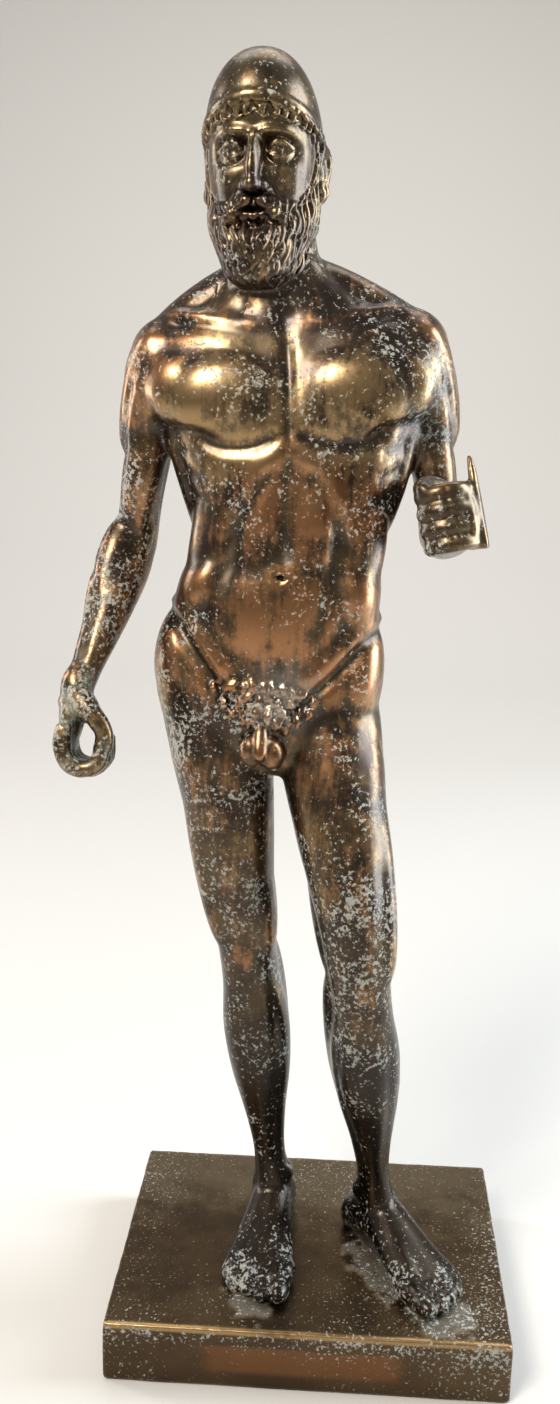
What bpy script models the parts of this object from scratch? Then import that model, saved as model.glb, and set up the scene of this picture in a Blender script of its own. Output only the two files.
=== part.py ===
"""A table statuette: a standing warrior of the classical kind, cast in one piece, on a flat plinth.

The figure is drawn on a canon of 400 parts from its sole to the top of its helmet. It is built up
as a modeller builds in clay: round masses for bones and muscles are pressed together into one skin,
the skin is smoothed, and creases and ridges are drawn into it with a tool of a given width.

Axes: +X to the figure's left, -Y the way it faces, +Z up. The origin is under the plinth's centre.
"""

import functools
import math

import bmesh
import bpy
import numpy as np
from mathutils import Matrix, Vector
from mathutils.bvhtree import BVHTree

# Driving sizes, in metres
STATURE = 0.400
PLINTH_WIDTH = 0.138
PLINTH_DEPTH = 0.106
PLINTH_HEIGHT = 0.022
PLINTH_DRAFT = 0.0012
PLINTH_EDGE_ROUND = 0.0012
SOLE_GAP = 0.0003
RIM_BAND = 3.4
RIM_PROUD = 0.9

CANON_PARTS = 400
PART = STATURE / CANON_PARTS
SKIN_VOXEL = 0.7 * PART
SKIN_SMOOTHING = 44
THIN_OUT = True
DETAIL_SMOOTHING = 6
TRIANGLES = {"body": 2900, "details": 1900, "head": 2800}

# Joints of the skeleton, in parts, measured from the middle of the plinth's top.
# Side -1 is the figure's right, the leg that carries its weight.
HIPS = {-1: np.array((-38.0, 3, 206)), 1: np.array((-2.5, 3, 202))}
KNEES = {-1: np.array((-25.0, -4, 113)), 1: np.array((14.0, -22, 110))}
ANKLES = {-1: np.array((-14.5, 8, 14)), 1: np.array((22.5, 1, 14))}
SHOULDERS = {-1: np.array((-56.5, 5, 312)), 1: np.array((24.5, 5, 316))}
ELBOWS = {-1: np.array((-66.0, 10, 250)), 1: np.array((35.5, 13, 255))}
WRISTS = {-1: np.array((-80.0, -19, 205)), 1: np.array((37.0, -40, 264))}
FOOT_TURN = {-1: -5, 1: 33}
HEAD_CENTRE = np.array((-24.5, 0, 363))
HEAD_TURN = (3, -1, -6)

# How the trunk is posed: (height, sideways shift, rise toward the figure's left)
TRUNK_POSE = (
    (170, -20.0, -0.10),
    (205, -20.5, -0.10),
    (230, -18.0, -0.07),
    (258, -14.0, 0.0),
    (285, -14.0, 0.04),
    (315, -15.8, 0.05),
    (335, -18.5, 0.03),
    (352, -21.0, 0.0),
)

clay = []
strokes = []


def smooth_rows(rows, keys):
    """Each column of the rows as a smooth curve over the rows' first value, read at the keys."""
    rows = np.array(rows, float)
    knots, values = rows[:, 0], rows[:, 1:]
    keys = np.clip(np.asarray(keys, float), knots[0], knots[-1])
    slopes = np.gradient(values, knots, axis=0)
    i = np.clip(np.searchsorted(knots, keys, side="right") - 1, 0, len(knots) - 2)
    span = (knots[i + 1] - knots[i])[..., None]
    t = (keys - knots[i])[..., None] / span
    return (
        (2 * t**3 - 3 * t**2 + 1) * values[i]
        + (t**3 - 2 * t**2 + t) * span * slopes[i]
        + (3 * t**2 - 2 * t**3) * values[i + 1]
        + (t**3 - t**2) * span * slopes[i + 1]
    )


def still(points):
    return points


def on_trunk(points):
    """Points of the upright, even trunk, moved to where the pose carries them."""
    points = np.array(points, float)
    shift, rise = smooth_rows(TRUNK_POSE, points[..., 2]).T
    return points + np.stack((shift, 0 * shift, (rise * points[..., 0].T)), axis=-1)


def turned(x=0.0, y=0.0, z=0.0):
    """The matrix of a turn by three angles in degrees, X first, for points held as rows."""
    spin = Matrix.Rotation(math.radians(z), 3, "Z")
    spin @= Matrix.Rotation(math.radians(y), 3, "Y")
    spin @= Matrix.Rotation(math.radians(x), 3, "X")
    return np.array(spin).T


def on_head(points):
    """Points of the head's own frame, whose origin lies between the ears."""
    return np.array(points, float) @ turned(*HEAD_TURN) + HEAD_CENTRE


def unit(vector):
    vector = np.array(vector, float)
    return vector / np.linalg.norm(vector, axis=-1, keepdims=True)


def frame_from(along, facing):
    """Across, facing and along as unit vectors, at right angles."""
    along = unit(along)
    facing = np.array(facing, float)
    facing = unit(facing - along * (along * facing).sum(-1, keepdims=True))
    return np.cross(facing, along), facing, along


@functools.cache
def unit_sphere(rings, around):
    """A ball's points, its faces, and each point's share of the way between the poles and angle."""
    made = bmesh.new()
    bmesh.ops.create_uvsphere(made, u_segments=around, v_segments=rings, radius=1.0)
    points = np.array([vert.co for vert in made.verts])
    faces = [[vert.index for vert in face.verts] for face in made.faces]
    made.free()
    share = np.arccos(np.clip(points[:, 2], -1, 1)) / math.pi
    return share, np.arctan2(points[:, 1], points[:, 0]), faces


def add_mass(shape, place, rings=16, around=28):
    """Presses a ball into the clay. shape gives its points from each one's share of the way
    between the poles and its angle around them."""
    share, angle, faces = unit_sphere(rings, around)
    clay.append((place(shape(share, angle)) * PART, faces))


def pressed_clay(name):
    """All the masses as one mesh, before they are joined into one skin."""
    mesh = bpy.data.meshes.new(name)
    points = np.concatenate([points for points, faces in clay])
    starts = np.cumsum([0] + [len(points) for points, faces in clay])
    faces = [[i + start for i in face] for start, (_, own) in zip(starts, clay) for face in own]
    mesh.from_pydata(points.tolist(), [], faces)
    return mesh


def ball(centre, half, place=still, turn=(0, 0, 0)):
    """An ellipsoid with the given half sizes, turned by three angles in degrees."""

    def shape(share, angle):
        ring = np.sin(math.pi * share)
        local = np.stack((ring * np.cos(angle), ring * np.sin(angle), np.cos(math.pi * share)), -1)
        return np.array(centre) + local * half @ turned(*turn)

    add_mass(shape, place)


def muscle(start, end, width, depth, facing=(0, -1, 0), belly=0.5, place=still, bend=0.0):
    """A spindle between two points. width and depth are half sizes at its belly, which lies at a
    share of its length. A bend bows it toward its facing side."""
    start, end = np.array(start, float), np.array(end, float)
    across, front, along = frame_from(end - start, facing)
    length = np.linalg.norm(end - start)
    power = math.log(belly) / math.log(0.5)

    def shape(share, angle):
        ring = np.sin(math.pi * share) ** 0.8
        t = ((1 - np.cos(math.pi * share)) / 2) ** power
        out = width * ring * np.cos(angle)
        up = depth * ring * np.sin(angle) + bend * 4 * t * (1 - t)
        return start + np.outer(length * t, along) + np.outer(out, across) + np.outer(up, front)

    add_mass(shape, place)


def stations(share, count):
    """The number of the ring that each point is on, and whether it is a pole."""
    ring = np.clip(np.round(share * (count + 1)) - 1, 0, count - 1)
    return ring / (count - 1), (share < 1e-4) | (share > 1 - 1e-4)


def squared(angle, square):
    """A circle's points, pushed out toward a square as the exponent rises above 2."""
    x, y = np.cos(angle), np.sin(angle)
    size = (np.abs(x) ** square + np.abs(y) ** square) ** (-1 / square)
    return x * size, y * size


def limb(path, rows, facing, place=still, outer=1, count=36, square=2.0):
    """A skin lofted along a path of joints. Each row is (place along the path, outer, inner, front,
    back), the last four as distances from the path."""
    before, after = path[0] * 1.3 - path[1] * 0.3, path[-1] * 1.3 - path[-2] * 0.3
    joints = [(-0.3, *before), *((i, *p) for i, p in enumerate(path)), (len(path) - 0.7, *after)]

    def shape(share, angle):
        ring, pole = stations(share, count)
        t = rows[0][0] + (rows[-1][0] - rows[0][0]) * ring
        centre = smooth_rows(joints, t)
        ahead = smooth_rows(joints, t + 0.05) - smooth_rows(joints, t - 0.05)
        across, front, _ = frame_from(ahead, facing)
        out, inn, fore, back = smooth_rows(rows, t).T
        x, y = squared(angle, square)
        across = across * outer * np.sign(across[:, :1])
        side = np.where(x > 0, out, inn) * x * ~pole
        depth = np.where(y > 0, fore, back) * y * ~pole
        return centre + across * side[:, None] + front * depth[:, None]

    add_mass(shape, place, rings=count + 1, around=28)


def column(rows, place=still, count=30, square=2.3):
    """A skin lofted up a vertical line. Each row is (height, half width, front, back)."""
    low, high = rows[0][0], rows[-1][0]

    def shape(share, angle):
        ring, pole = stations(share, count)
        z = high + (low - high) * ring
        half, front, back = smooth_rows(rows, z).T
        x, y = squared(angle, square)
        return np.stack((half * x * ~pole, np.where(y > 0, back, front) * y * ~pole, z), -1)

    add_mass(shape, place, rings=count + 1, around=32)


def trunk():
    """The trunk from the fork of the legs to the neck, upright and even; on_trunk poses it."""
    column(
        (
            (177, 20, 9, 13),
            (186, 31, 15, 20),
            (200, 36.5, 17.5, 22.5),
            (212, 37, 18.5, 21),
            (226, 34.5, 18.5, 16),
            (242, 31, 18, 13),
            (257, 29.5, 17.5, 13),
            (272, 33.5, 18.5, 16),
            (287, 37, 19.5, 19.5),
            (300, 39.5, 18, 21.5),
            (311, 40, 14.5, 21.5),
            (319, 37, 11.5, 20),
            (326, 27, 10, 17.5),
            (332, 17, 9, 15),
            (340, 12, 8, 13),
        ),
        place=on_trunk,
    )
    for side in (-1, 1):
        chest_and_back(side)
        belly_and_seat(side)
    muscle((0, -11, 318), (0, -16.5, 284), 3.5, 2.5, place=on_trunk)
    ball((0, 9.0, 322), (20, 9.5, 20), on_trunk)
    ball((0, -14, 232), (22, 6.8, 22), on_trunk)
    ball((0, -12, 199), (13, 7.5, 8), on_trunk)


def chest_and_back(side):
    muscle((side, -13.5, 292), (side * 44, -6, 304), 9, 6.5, belly=0.42, place=on_trunk, bend=2.5)
    muscle((side, -12.5, 301), (side * 45, -4, 308), 10, 6, belly=0.4, place=on_trunk, bend=2.5)
    muscle((side * 3, -9.5, 310), (side * 45, -2, 312), 9, 5.5, belly=0.45, place=on_trunk, bend=2)
    ball((side * 19, -11.5, 299), (19, 9.2, 14), on_trunk)
    ball((side * 33, -7, 302), (12, 9, 12), on_trunk)
    ball((side * 38, -4.5, 305), (9, 8, 10.5), on_trunk)
    muscle((side * 3, -9.5, 320), (side * 38, 0, 324), 2.5, 2.5, place=on_trunk, bend=2.5)
    trapezius = {"facing": (0, 0, 1), "belly": 0.42, "place": on_trunk}
    muscle((side * 4, 8, 339), (side * 45, 6, 317), 10, 6.5, **trapezius)
    ball((side * 13, 12, 319), (18, 9, 13), on_trunk, turn=(0, side * 18, 0))
    ball((side * 34, 6, 313), (15, 12, 9), on_trunk, turn=(0, side * 14, 0))
    lat = {"facing": (side, 0.5, 0), "belly": 0.3, "place": on_trunk}
    muscle((side * 36, 8, 314), (side * 23, 6, 246), 14, 8.5, **lat)
    ball((side * 21, 14.5, 303), (14, 8, 15), on_trunk, turn=(0, side * 12, 0))
    muscle((side * 8, 11, 308), (side * 9, 11.5, 216), 8.5, 5.5, facing=(0, 1, 0), place=on_trunk)
    ball((side * 14, 3, 258), (15.5, 11, 22), on_trunk)


def belly_and_seat(side):
    muscle((side * 8, -13.5, 288), (side * 7.5, -13.5, 232), 9, 5.6, place=on_trunk)
    ball((side * 8, -13.4, 262), (8.6, 5.0, 11), on_trunk)
    muscle((side * 6.5, -14, 250), (side * 4, -13, 205), 10, 4.6, belly=0.4, place=on_trunk)
    oblique = {"facing": (side * 0.6, -1, 0), "place": on_trunk}
    muscle((side * 23, -6, 278), (side * 21, -9, 220), 10.5, 6.6, **oblique)
    ball((side * 23, -3, 239), (9.6, 14, 15), on_trunk, turn=(0, -side * 12, 0))
    crest = {"facing": (side, -1, 0), "place": on_trunk}
    muscle((side * 34, 0, 233), (side * 14, -15, 206), 4, 3.8, **crest)
    ball((side * 28.5, 1, 212), (9.5, 15, 20), on_trunk)
    ball((side * 17.5, 8, 206), (19, 16.5, 21), on_trunk, turn=(0, side * 6, 0))


def leg(side):
    """A leg from hip to ankle."""
    hip, knee, ankle = HIPS[side], KNEES[side], ANKLES[side]
    front = np.array((0, -1, 0)) @ turned(z=FOOT_TURN[side] * 0.7)
    out = np.array((side, 0, 0))
    limb(
        (hip, knee, ankle),
        (
            (-0.10, 14, 12, 13, 13),
            (0.0, 18, 15, 16, 18),
            (0.22, 18, 16.5, 17.5, 18.5),
            (0.45, 15.5, 15, 16.5, 15.5),
            (0.70, 12.6, 12.4, 14, 12.5),
            (0.90, 10.2, 10.4, 11.4, 10.5),
            (1.0, 9.8, 10.0, 10.8, 10.2),
            (1.10, 9.8, 10, 9.6, 11.6),
            (1.27, 11.6, 11.8, 9, 15.6),
            (1.45, 10.8, 10.8, 8.4, 14),
            (1.66, 7.4, 7.2, 6.8, 9.0),
            (1.82, 5.8, 5.6, 6.2, 7.2),
            (1.92, 6.4, 6.2, 8.2, 7.8),
            (2.0, 7.2, 7.0, 9.5, 8.0),
            (2.06, 6, 6, 8, 7),
        ),
        front,
        outer=side,
        count=44,
    )

    def on_thigh(share, outward, forward):
        return hip + (knee - hip) * share + out * outward + front * forward

    def on_shin(share, outward, forward):
        return knee + (ankle - knee) * share + out * outward + front * forward

    muscle(on_thigh(0.02, 1, 8), on_thigh(0.93, 0, 6.5), 8, 9, front, belly=0.42)
    muscle(on_thigh(0.12, 10, 3), on_thigh(0.98, 6.5, 4.5), 6.5, 9, front, belly=0.5)
    muscle(on_thigh(0.45, -7, 5), on_thigh(1.0, -6.8, 4.6), 5.6, 6.2, front, belly=0.66)
    muscle(on_thigh(-0.02, -7, 2), on_thigh(0.7, -8, -2), 8, 11, front, belly=0.35)
    muscle(on_thigh(0.08, 2, -8), on_thigh(1.0, 4, -5.5), 8.5, 9.5, -front, belly=0.42)
    muscle(on_thigh(1.0, -7.5, -4), on_thigh(0.4, -5, -8), 5, 6.5, -front)
    ball(on_thigh(0.98, 0, 5.8), (7.2, 4.8, 8.6))
    muscle(on_shin(0.0, 0, 7.6), on_shin(0.2, 0, 6.4), 3.2, 3.2, front)
    muscle(on_shin(-0.06, -5.2, -6.5), on_shin(0.58, -4.2, -6.5), 6.4, 8, -front, belly=0.46)
    muscle(on_shin(-0.06, 5.2, -5.5), on_shin(0.52, 5.0, -5.5), 6, 8, -front, belly=0.46)
    muscle(on_shin(0.04, 4.2, 3), on_shin(0.8, 1.2, 3.2), 4.8, 5.2, front, belly=0.35)
    muscle(on_shin(0.3, 0, -5), on_shin(0.98, 0, -8.5), 3.8, 4.6, -front, belly=0.3)
    muscle(on_shin(0.08, -3.5, 4.2), on_shin(0.9, -1.5, 4.5), 2.2, 3.6, front, belly=0.3)
    ball(on_shin(0.97, 5.6, 0), (2.6, 3.2, 4))
    ball(on_shin(0.92, -5.8, 0.5), (2.6, 3.4, 4.2))
    foot(side)


def foot(side):
    """A bare foot, flat on the ground, from heel to toes."""
    turn = turned(z=FOOT_TURN[side])
    ankle = ANKLES[side] * (1, 1, 0)

    def on_foot(points):
        """Points (outward, forward, up) of the foot's own frame."""
        return ankle + np.array(points, float) * (side, -1, 1) @ turn

    rows = (
        (-15, 4.5, 4, 4),
        (-12, 7.4, 7, 7.5),
        (-6, 8.2, 7.8, 10.5),
        (3, 8.4, 8.0, 11.2),
        (12, 9.4, 8.8, 9.7),
        (22, 10.8, 10.2, 7.2),
        (32, 12, 11.6, 4.9),
        (38, 11.6, 11.8, 3.5),
        (42, 9, 10, 2.4),
    )

    def shape(share, angle):
        ring, pole = stations(share, 24)
        y = rows[0][0] + (rows[-1][0] - rows[0][0]) * ring
        outward, inward, up = smooth_rows(rows, y).T
        x, z = squared(angle, 2.2)
        arch = 2.6 * np.clip(-x, 0, None) * np.exp(-(((y - 12) / 9) ** 2)) * (z < 0)
        across = np.where(x > 0, outward, inward) * x * ~pole
        return np.stack((across, y, up * (1 + z * ~pole) + arch - 1.6), -1)

    add_mass(shape, on_foot, rings=25, around=24)
    instep = {"facing": (0, 0, 1), "place": on_foot}
    muscle((0, 8, 15), (-6.5, 36, 5.5), 2.2, 2.2, belly=0.5, **instep)
    ball((-8.5, 33, 4), (4.2, 6.5, 4.2), on_foot)
    ball((8.5, 28, 3.4), (4.4, 6, 3.8), on_foot)
    toes = ((-8.0, 48, 3.9), (-2.2, 47.5, 2.8), (2.6, 45, 2.7), (7.0, 41.5, 2.6), (10.8, 37, 2.6))
    for x, tip, radius in toes:
        muscle((x * 0.8, 30, 4.4), (x, tip - 4, radius + 0.8), radius, radius, **instep)
        ball((x, tip - radius * 1.5, radius * 0.9), (radius, radius * 1.6, radius), on_foot)


def arm(side):
    shoulder, elbow, wrist = SHOULDERS[side], ELBOWS[side], WRISTS[side]
    upper, fore = elbow - shoulder, wrist - elbow
    out = np.array((side, 0, 0))
    ahead, up = np.array((0, -1, 0)), np.array((0, 0, 1))
    palm_side = unit((side, -0.3, 0)) if side < 0 else unit((0.2, 0, 1))
    limb(
        (shoulder, elbow),
        (
            (-0.06, 7, 7, 8, 8),
            (0.06, 9.5, 9, 10, 10.5),
            (0.3, 9.0, 8.6, 9.6, 10),
            (0.6, 7.8, 7.6, 9.0, 9.4),
            (0.85, 7.4, 7.4, 7.4, 8.2),
            (1.04, 7.2, 7.4, 7.0, 7.4),
        ),
        ahead,
        outer=side,
        count=24,
    )
    limb(
        (elbow, wrist),
        (
            (-0.08, 7.0, 7.0, 6.6, 6.6),
            (0.06, 8.0, 8.0, 7.4, 7.6),
            (0.22, 8.8, 8.6, 8.0, 8.0),
            (0.38, 8.6, 8.4, 7.8, 7.6),
            (0.62, 7.2, 6.8, 6.6, 6.4),
            (0.85, 6.0, 5.6, 5.2, 5.0),
            (1.10, 5.8, 5.6, 4.8, 4.8),
        ),
        palm_side,
        outer=side,
        count=24,
    )
    ball(shoulder - out * 2.5 - up * 1, (13.5, 13.5, 13.5))
    ball(shoulder - out * 14 + ahead * 1 - up * 3, (12, 12, 12))
    ball(shoulder + out * 1 + ahead * 3 - up * 9, (10.5, 11.5, 15))
    deltoid = shoulder + out * 1 + up * 10
    muscle(deltoid, shoulder + upper * 0.58 + out * 4, 11, 9.5, out, belly=0.36)
    muscle(deltoid + ahead * 8, shoulder + upper * 0.52 + out * 3.5 + ahead * 3, 8.5, 8, ahead, 0.4)
    muscle(deltoid - ahead * 7, shoulder + upper * 0.5 + out * 3 - ahead * 3, 8.5, 7.5, -ahead, 0.4)
    biceps = shoulder + upper * 0.22 + ahead * 4
    muscle(biceps, shoulder + upper * 0.97 + ahead * 3.5, 6.8, 7.2, ahead, 0.52)
    muscle(shoulder + upper * 0.12 - ahead * 4, shoulder + upper * 0.94 - ahead * 4, 7.6, 7, -ahead, 0.42)
    bulge = elbow - upper * 0.14 + palm_side * 4
    muscle(bulge, elbow + fore * 0.66 + palm_side * 2.5, 6, 6.2, palm_side, 0.4)
    muscle(elbow - palm_side * 3, elbow + fore * 0.7 - palm_side * 1.5, 6, 6, -palm_side, 0.36)
    ball(elbow - ahead * 5 - up, (4.2, 3.6, 4.8))


def hand(side):
    """A closed hand. Its frame is (toward the palm, from the first finger to the last, toward the
    knuckles), from the wrist. The right hand keeps the round grip of a lost shaft."""
    wrist = WRISTS[side]
    open_grip = side < 0
    along = unit((0.02, -0.20, -1)) if open_grip else unit((-0.08, -0.97, 0.18))
    palm = np.array((1, 0, 0)) if open_grip else np.array((-1, -0.1, 0.05))
    palm = unit(palm - along * palm.dot(along))
    across = np.array((0, 1, 0)) if open_grip else np.array((0, 0, -1))
    across = unit(across - along * across.dot(along) - palm * across.dot(palm))
    curl = ((-2.4, 10), (-3.2, 16.5), (-1.2, 22), (3.8, 24), (8.4, 21.8), (9.4, 15.5))
    if not open_grip:
        curl = ((-2.2, 11), (-2, 16.5), (0.6, 20.2), (5.6, 20.8), (9.2, 18), (8.6, 12.5))

    def on_hand(points):
        return wrist + np.array(points, float) @ np.array((palm, across, along))

    def finger(path, radius):
        """A round finger along a path of (toward the palm, across, along) points."""
        shares = np.linspace(0, len(path) - 1, 7)
        taper = np.array((0.9, 1.04, 1.0, 1.04, 0.98, 0.98, 0.8))
        rows = [(t, *[radius * k] * 4) for t, k in zip(shares, taper)]
        limb(on_hand(path), rows, across, count=30)
        ball(on_hand((path[-1],))[0], [radius * 0.82] * 3)

    ball((0, 0, -1), (5.4, 6, 9), on_hand)
    ball((-1.6, 0, 7), (3.9, 7.8, 9.5), on_hand)
    ball((-2.5, 0, 14), (3, 9.2, 7), on_hand)
    radii = (2.85, 2.95, 2.85, 2.6) if open_grip else (2.6, 2.7, 2.6, 2.4)
    for i, radius in enumerate(radii):
        y = -7.2 + 4.75 * i
        finger([(x, y, z - 0.3 * abs(i - 1)) for x, z in curl], radius)
    if open_grip:
        muscle((0, -4.5, -2), (7.5, -7, 9), 4.2, 4.2, facing=(0, 1, 0), place=on_hand)
        finger(((3, -6.8, 2), (6.8, -7.8, 6.5), (9.8, -7.4, 11), (10.6, -6, 16.5)), 3.0)
        muscle((0, 1.5, -1), (11, 1.5, 16), 3.0, 7.0, facing=(0, 1, 0), place=on_hand)
    else:
        muscle((1, -6, 2), (6.5, -8.5, 10.5), 4.2, 4.2, facing=(0, 1, 0), place=on_hand)
        finger(((3, -9, 6), (6, -10.6, 10), (8.4, -10.2, 14.5), (8.6, -9, 19)), 3.0)
        ball((3.5, 0, 11), (6.5, 9, 8), on_hand)
        plate = on_hand(((-5.4, -17, 13.5), (-5.4, -5, 13), (-5.4, 9.5, 12.5)))
        rows = (
            (0.0, 0.6, 0.6, 0.7, 0.7),
            (0.3, 2.0, 2.0, 1.1, 1.1),
            (0.9, 4.2, 4.2, 1.3, 1.3),
            (1.6, 5.0, 5.0, 1.3, 1.3),
            (2.0, 4.4, 4.4, 1.2, 1.2),
        )
        limb(plate, rows, palm, count=24, square=2.6)


def neck():
    base, middle = on_trunk(((0, 6, 310), (0, 3.5, 331)))
    limb(
        (base, middle, HEAD_CENTRE + (0, 5, 0)),
        (
            (0.0, 18, 18, 12, 12),
            (0.6, 14.5, 14.5, 11, 12),
            (1.0, 12.8, 12.8, 11, 11.8),
            (1.4, 12.4, 12.4, 11, 12),
            (2.0, 12.5, 12.5, 11, 12.5),
        ),
        (0, -1, 0),
        count=16,
    )
    for side in (-1, 1):
        ear, notch = HEAD_CENTRE + (side * 13, 6, -9), on_trunk((side * 3, -9.5, 321))
        muscle(ear, notch, 3.8, 3.8, belly=0.55)


def head():
    """The bare head, before its face is carved: skull, jaw, nose and ears."""
    ball((0, 1.5, 12), (16.4, 18.6, 18), on_head)
    ball((0, 6, 0), (16.0, 15, 14), on_head)
    column(
        (
            (-24.0, 4, 15, 4),
            (-21.5, 8, 17.5, 6),
            (-17, 11.8, 17.6, 8),
            (-11, 14, 17.6, 10),
            (-5, 15.6, 17, 12),
            (1, 16.4, 16.6, 12),
            (7, 16.4, 16.6, 12),
            (12, 16.4, 17.6, 12),
            (19, 15.6, 17.8, 12),
            (26, 12, 14, 10),
        ),
        place=on_head,
        count=24,
        square=2.3,
    )
    muscle((0, -15.8, 13), (0, -21.4, -3.5), 2.4, 3.8, belly=0.62, place=on_head)
    ball((0, -21.6, -3.6), (2.5, 2.9, 2.3), on_head)
    for side in (-1, 1):
        ball((side * 2.9, -18.6, -3.8), (1.9, 2.6, 1.9), on_head)
        ear(side)


def ear(side):
    """A disc for the shell, and a tube for its rim from the root round to the lobe."""
    ball((side * 17.4, 3.6, 1.8), (1.5, 4.0, 6.4), on_head, turn=(-8, 0, side * 12))
    rim = ((16.8, 0.6, 1), (17.6, -0.4, 5), (18.8, 2.2, 8.2), (19.8, 6.2, 7), (19.8, 7.4, 3), (19.0, 6, -1.4), (17.6, 3, -5))
    rim = on_head(np.array(rim) * (side, 1, 1))
    limb(rim, [(t, 1.15, 1.15, 1.15, 1.15) for t in range(7)], (0.3 * side, 1, 0.2), outer=side, count=40)
    ball((side * 17.6, 2.2, -4.6), (1.5, 1.9, 2.2), on_head)


def beard():
    column(
        (
            (-31.0, 5, 15, 1),
            (-28.5, 9, 18.5, 2),
            (-24, 12.2, 20.5, 3),
            (-19, 14.4, 20.5, 4),
            (-15, 15.6, 18, 5),
            (-10.5, 16.2, 14, 6),
            (-5, 16.6, 9, 6),
            (2, 16.8, 5, 6),
            (9, 16, 3, 6),
        ),
        place=on_head,
        count=26,
    )
    for side in (-1, 1):
        muscle((side * 0.8, -18.6, -7.4), (side * 9.5, -15.5, -14), 1.4, 1.5, place=on_head, bend=1.0)


def rim_height(x, y):
    """Height of the helmet's lower edge from its direction: high in front, low behind."""
    return 8.0 - 11.0 * y


def helmet():
    """A plain round helmet with a low rim, of no particular maker."""

    def shape(share, angle):
        x, y = np.cos(angle), np.sin(angle)
        rim = rim_height(x, y)
        dome = share < 0.7
        climb = np.where(dome, share / 0.7, 1) * math.pi / 2
        rise = (36.5 - rim) * np.where(dome, np.cos(climb), 0)
        ring = np.where(dome, np.sin(climb) ** 0.94, 1 - (share - 0.7) / 0.3)
        band = np.clip((RIM_BAND - rise) / 0.8, 0, 1) * RIM_PROUD * dome
        return np.stack(((18.0 * ring + band) * x, 1.5 + (20.9 * ring + band) * y, rim + rise), -1)

    add_mass(shape, on_head, rings=90, around=72)


def genitals():
    """Small and plain, as on the classical nudes."""
    for side in (-1, 1):
        ball((side * 2.7, -18.5, 187), (3.7, 4, 5.4), on_trunk)
    muscle((0, -17, 198), (0, -24.5, 185), 2.2, 2.3, facing=(0, -1, 1), place=on_trunk)


def rows_of(items, name, size=3):
    data = np.empty(len(items) * size)
    items.foreach_get(name, data)
    return data.reshape(-1, size)


def stroke(points, width, depth, place=still, mirror=False):
    """Notes one stroke of the modelling tool. A depth above zero raises a ridge."""
    for side in (-1, 1) if mirror else (1,):
        strokes.append((place(np.array(points, float) * (side, 1, 1)), width, depth))


def resampled(points, spacing):
    """A polyline's points, evenly spaced."""
    legs = np.linalg.norm(np.diff(points, axis=0), axis=1)
    along = np.concatenate(([0], np.cumsum(legs)))
    count = max(2, int(along[-1] / spacing) + 1)
    keys = np.linspace(0, along[-1], count)
    return smooth_rows(np.column_stack((along, points)), keys) if len(points) > 2 else np.stack(
        [np.interp(keys, along, points[:, i]) for i in range(3)], -1
    )


def carve(obj):
    """Draws the noted strokes into the skin along its normals, each fading out at its ends."""
    mesh = obj.data
    tree = BVHTree.FromPolygons(
        [v.co for v in mesh.vertices], [p.vertices for p in mesh.polygons]
    )
    places, normals = rows_of(mesh.vertices, "co") / PART, rows_of(mesh.vertices, "normal")
    moved = places.copy()
    for points, width, depth in strokes:
        if len(points) > 1:
            points = resampled(points, max(0.4, width * 0.4))
        hits = [tree.find_nearest(Vector(point * PART)) for point in points]
        points = np.array([hit[0] for hit in hits]) / PART
        facing = np.array([hit[1] for hit in hits])
        low, high = points.min(0) - 2.5 * width, points.max(0) + 2.5 * width
        near = np.flatnonzero(((places > low) & (places < high)).all(1))
        gaps = np.linalg.norm(places[near, None] - points[None], axis=2)
        best = gaps.argmin(1)
        gap = gaps[np.arange(len(near)), best]
        share = best / max(1, len(points) - 1)
        fade = 1.0 if len(points) == 1 else np.clip(np.minimum(share, 1 - share) * 5 + 0.25, 0, 1)
        agree = np.clip((normals[near] * facing[best]).sum(1) * 2, 0, 1)
        push = depth * np.exp(-((gap / width) ** 2)) * fade * agree
        moved[near] += normals[near] * push[:, None]
    mesh.vertices.foreach_set("co", (moved * PART).ravel())
    strokes.clear()
    mesh.update()


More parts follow.
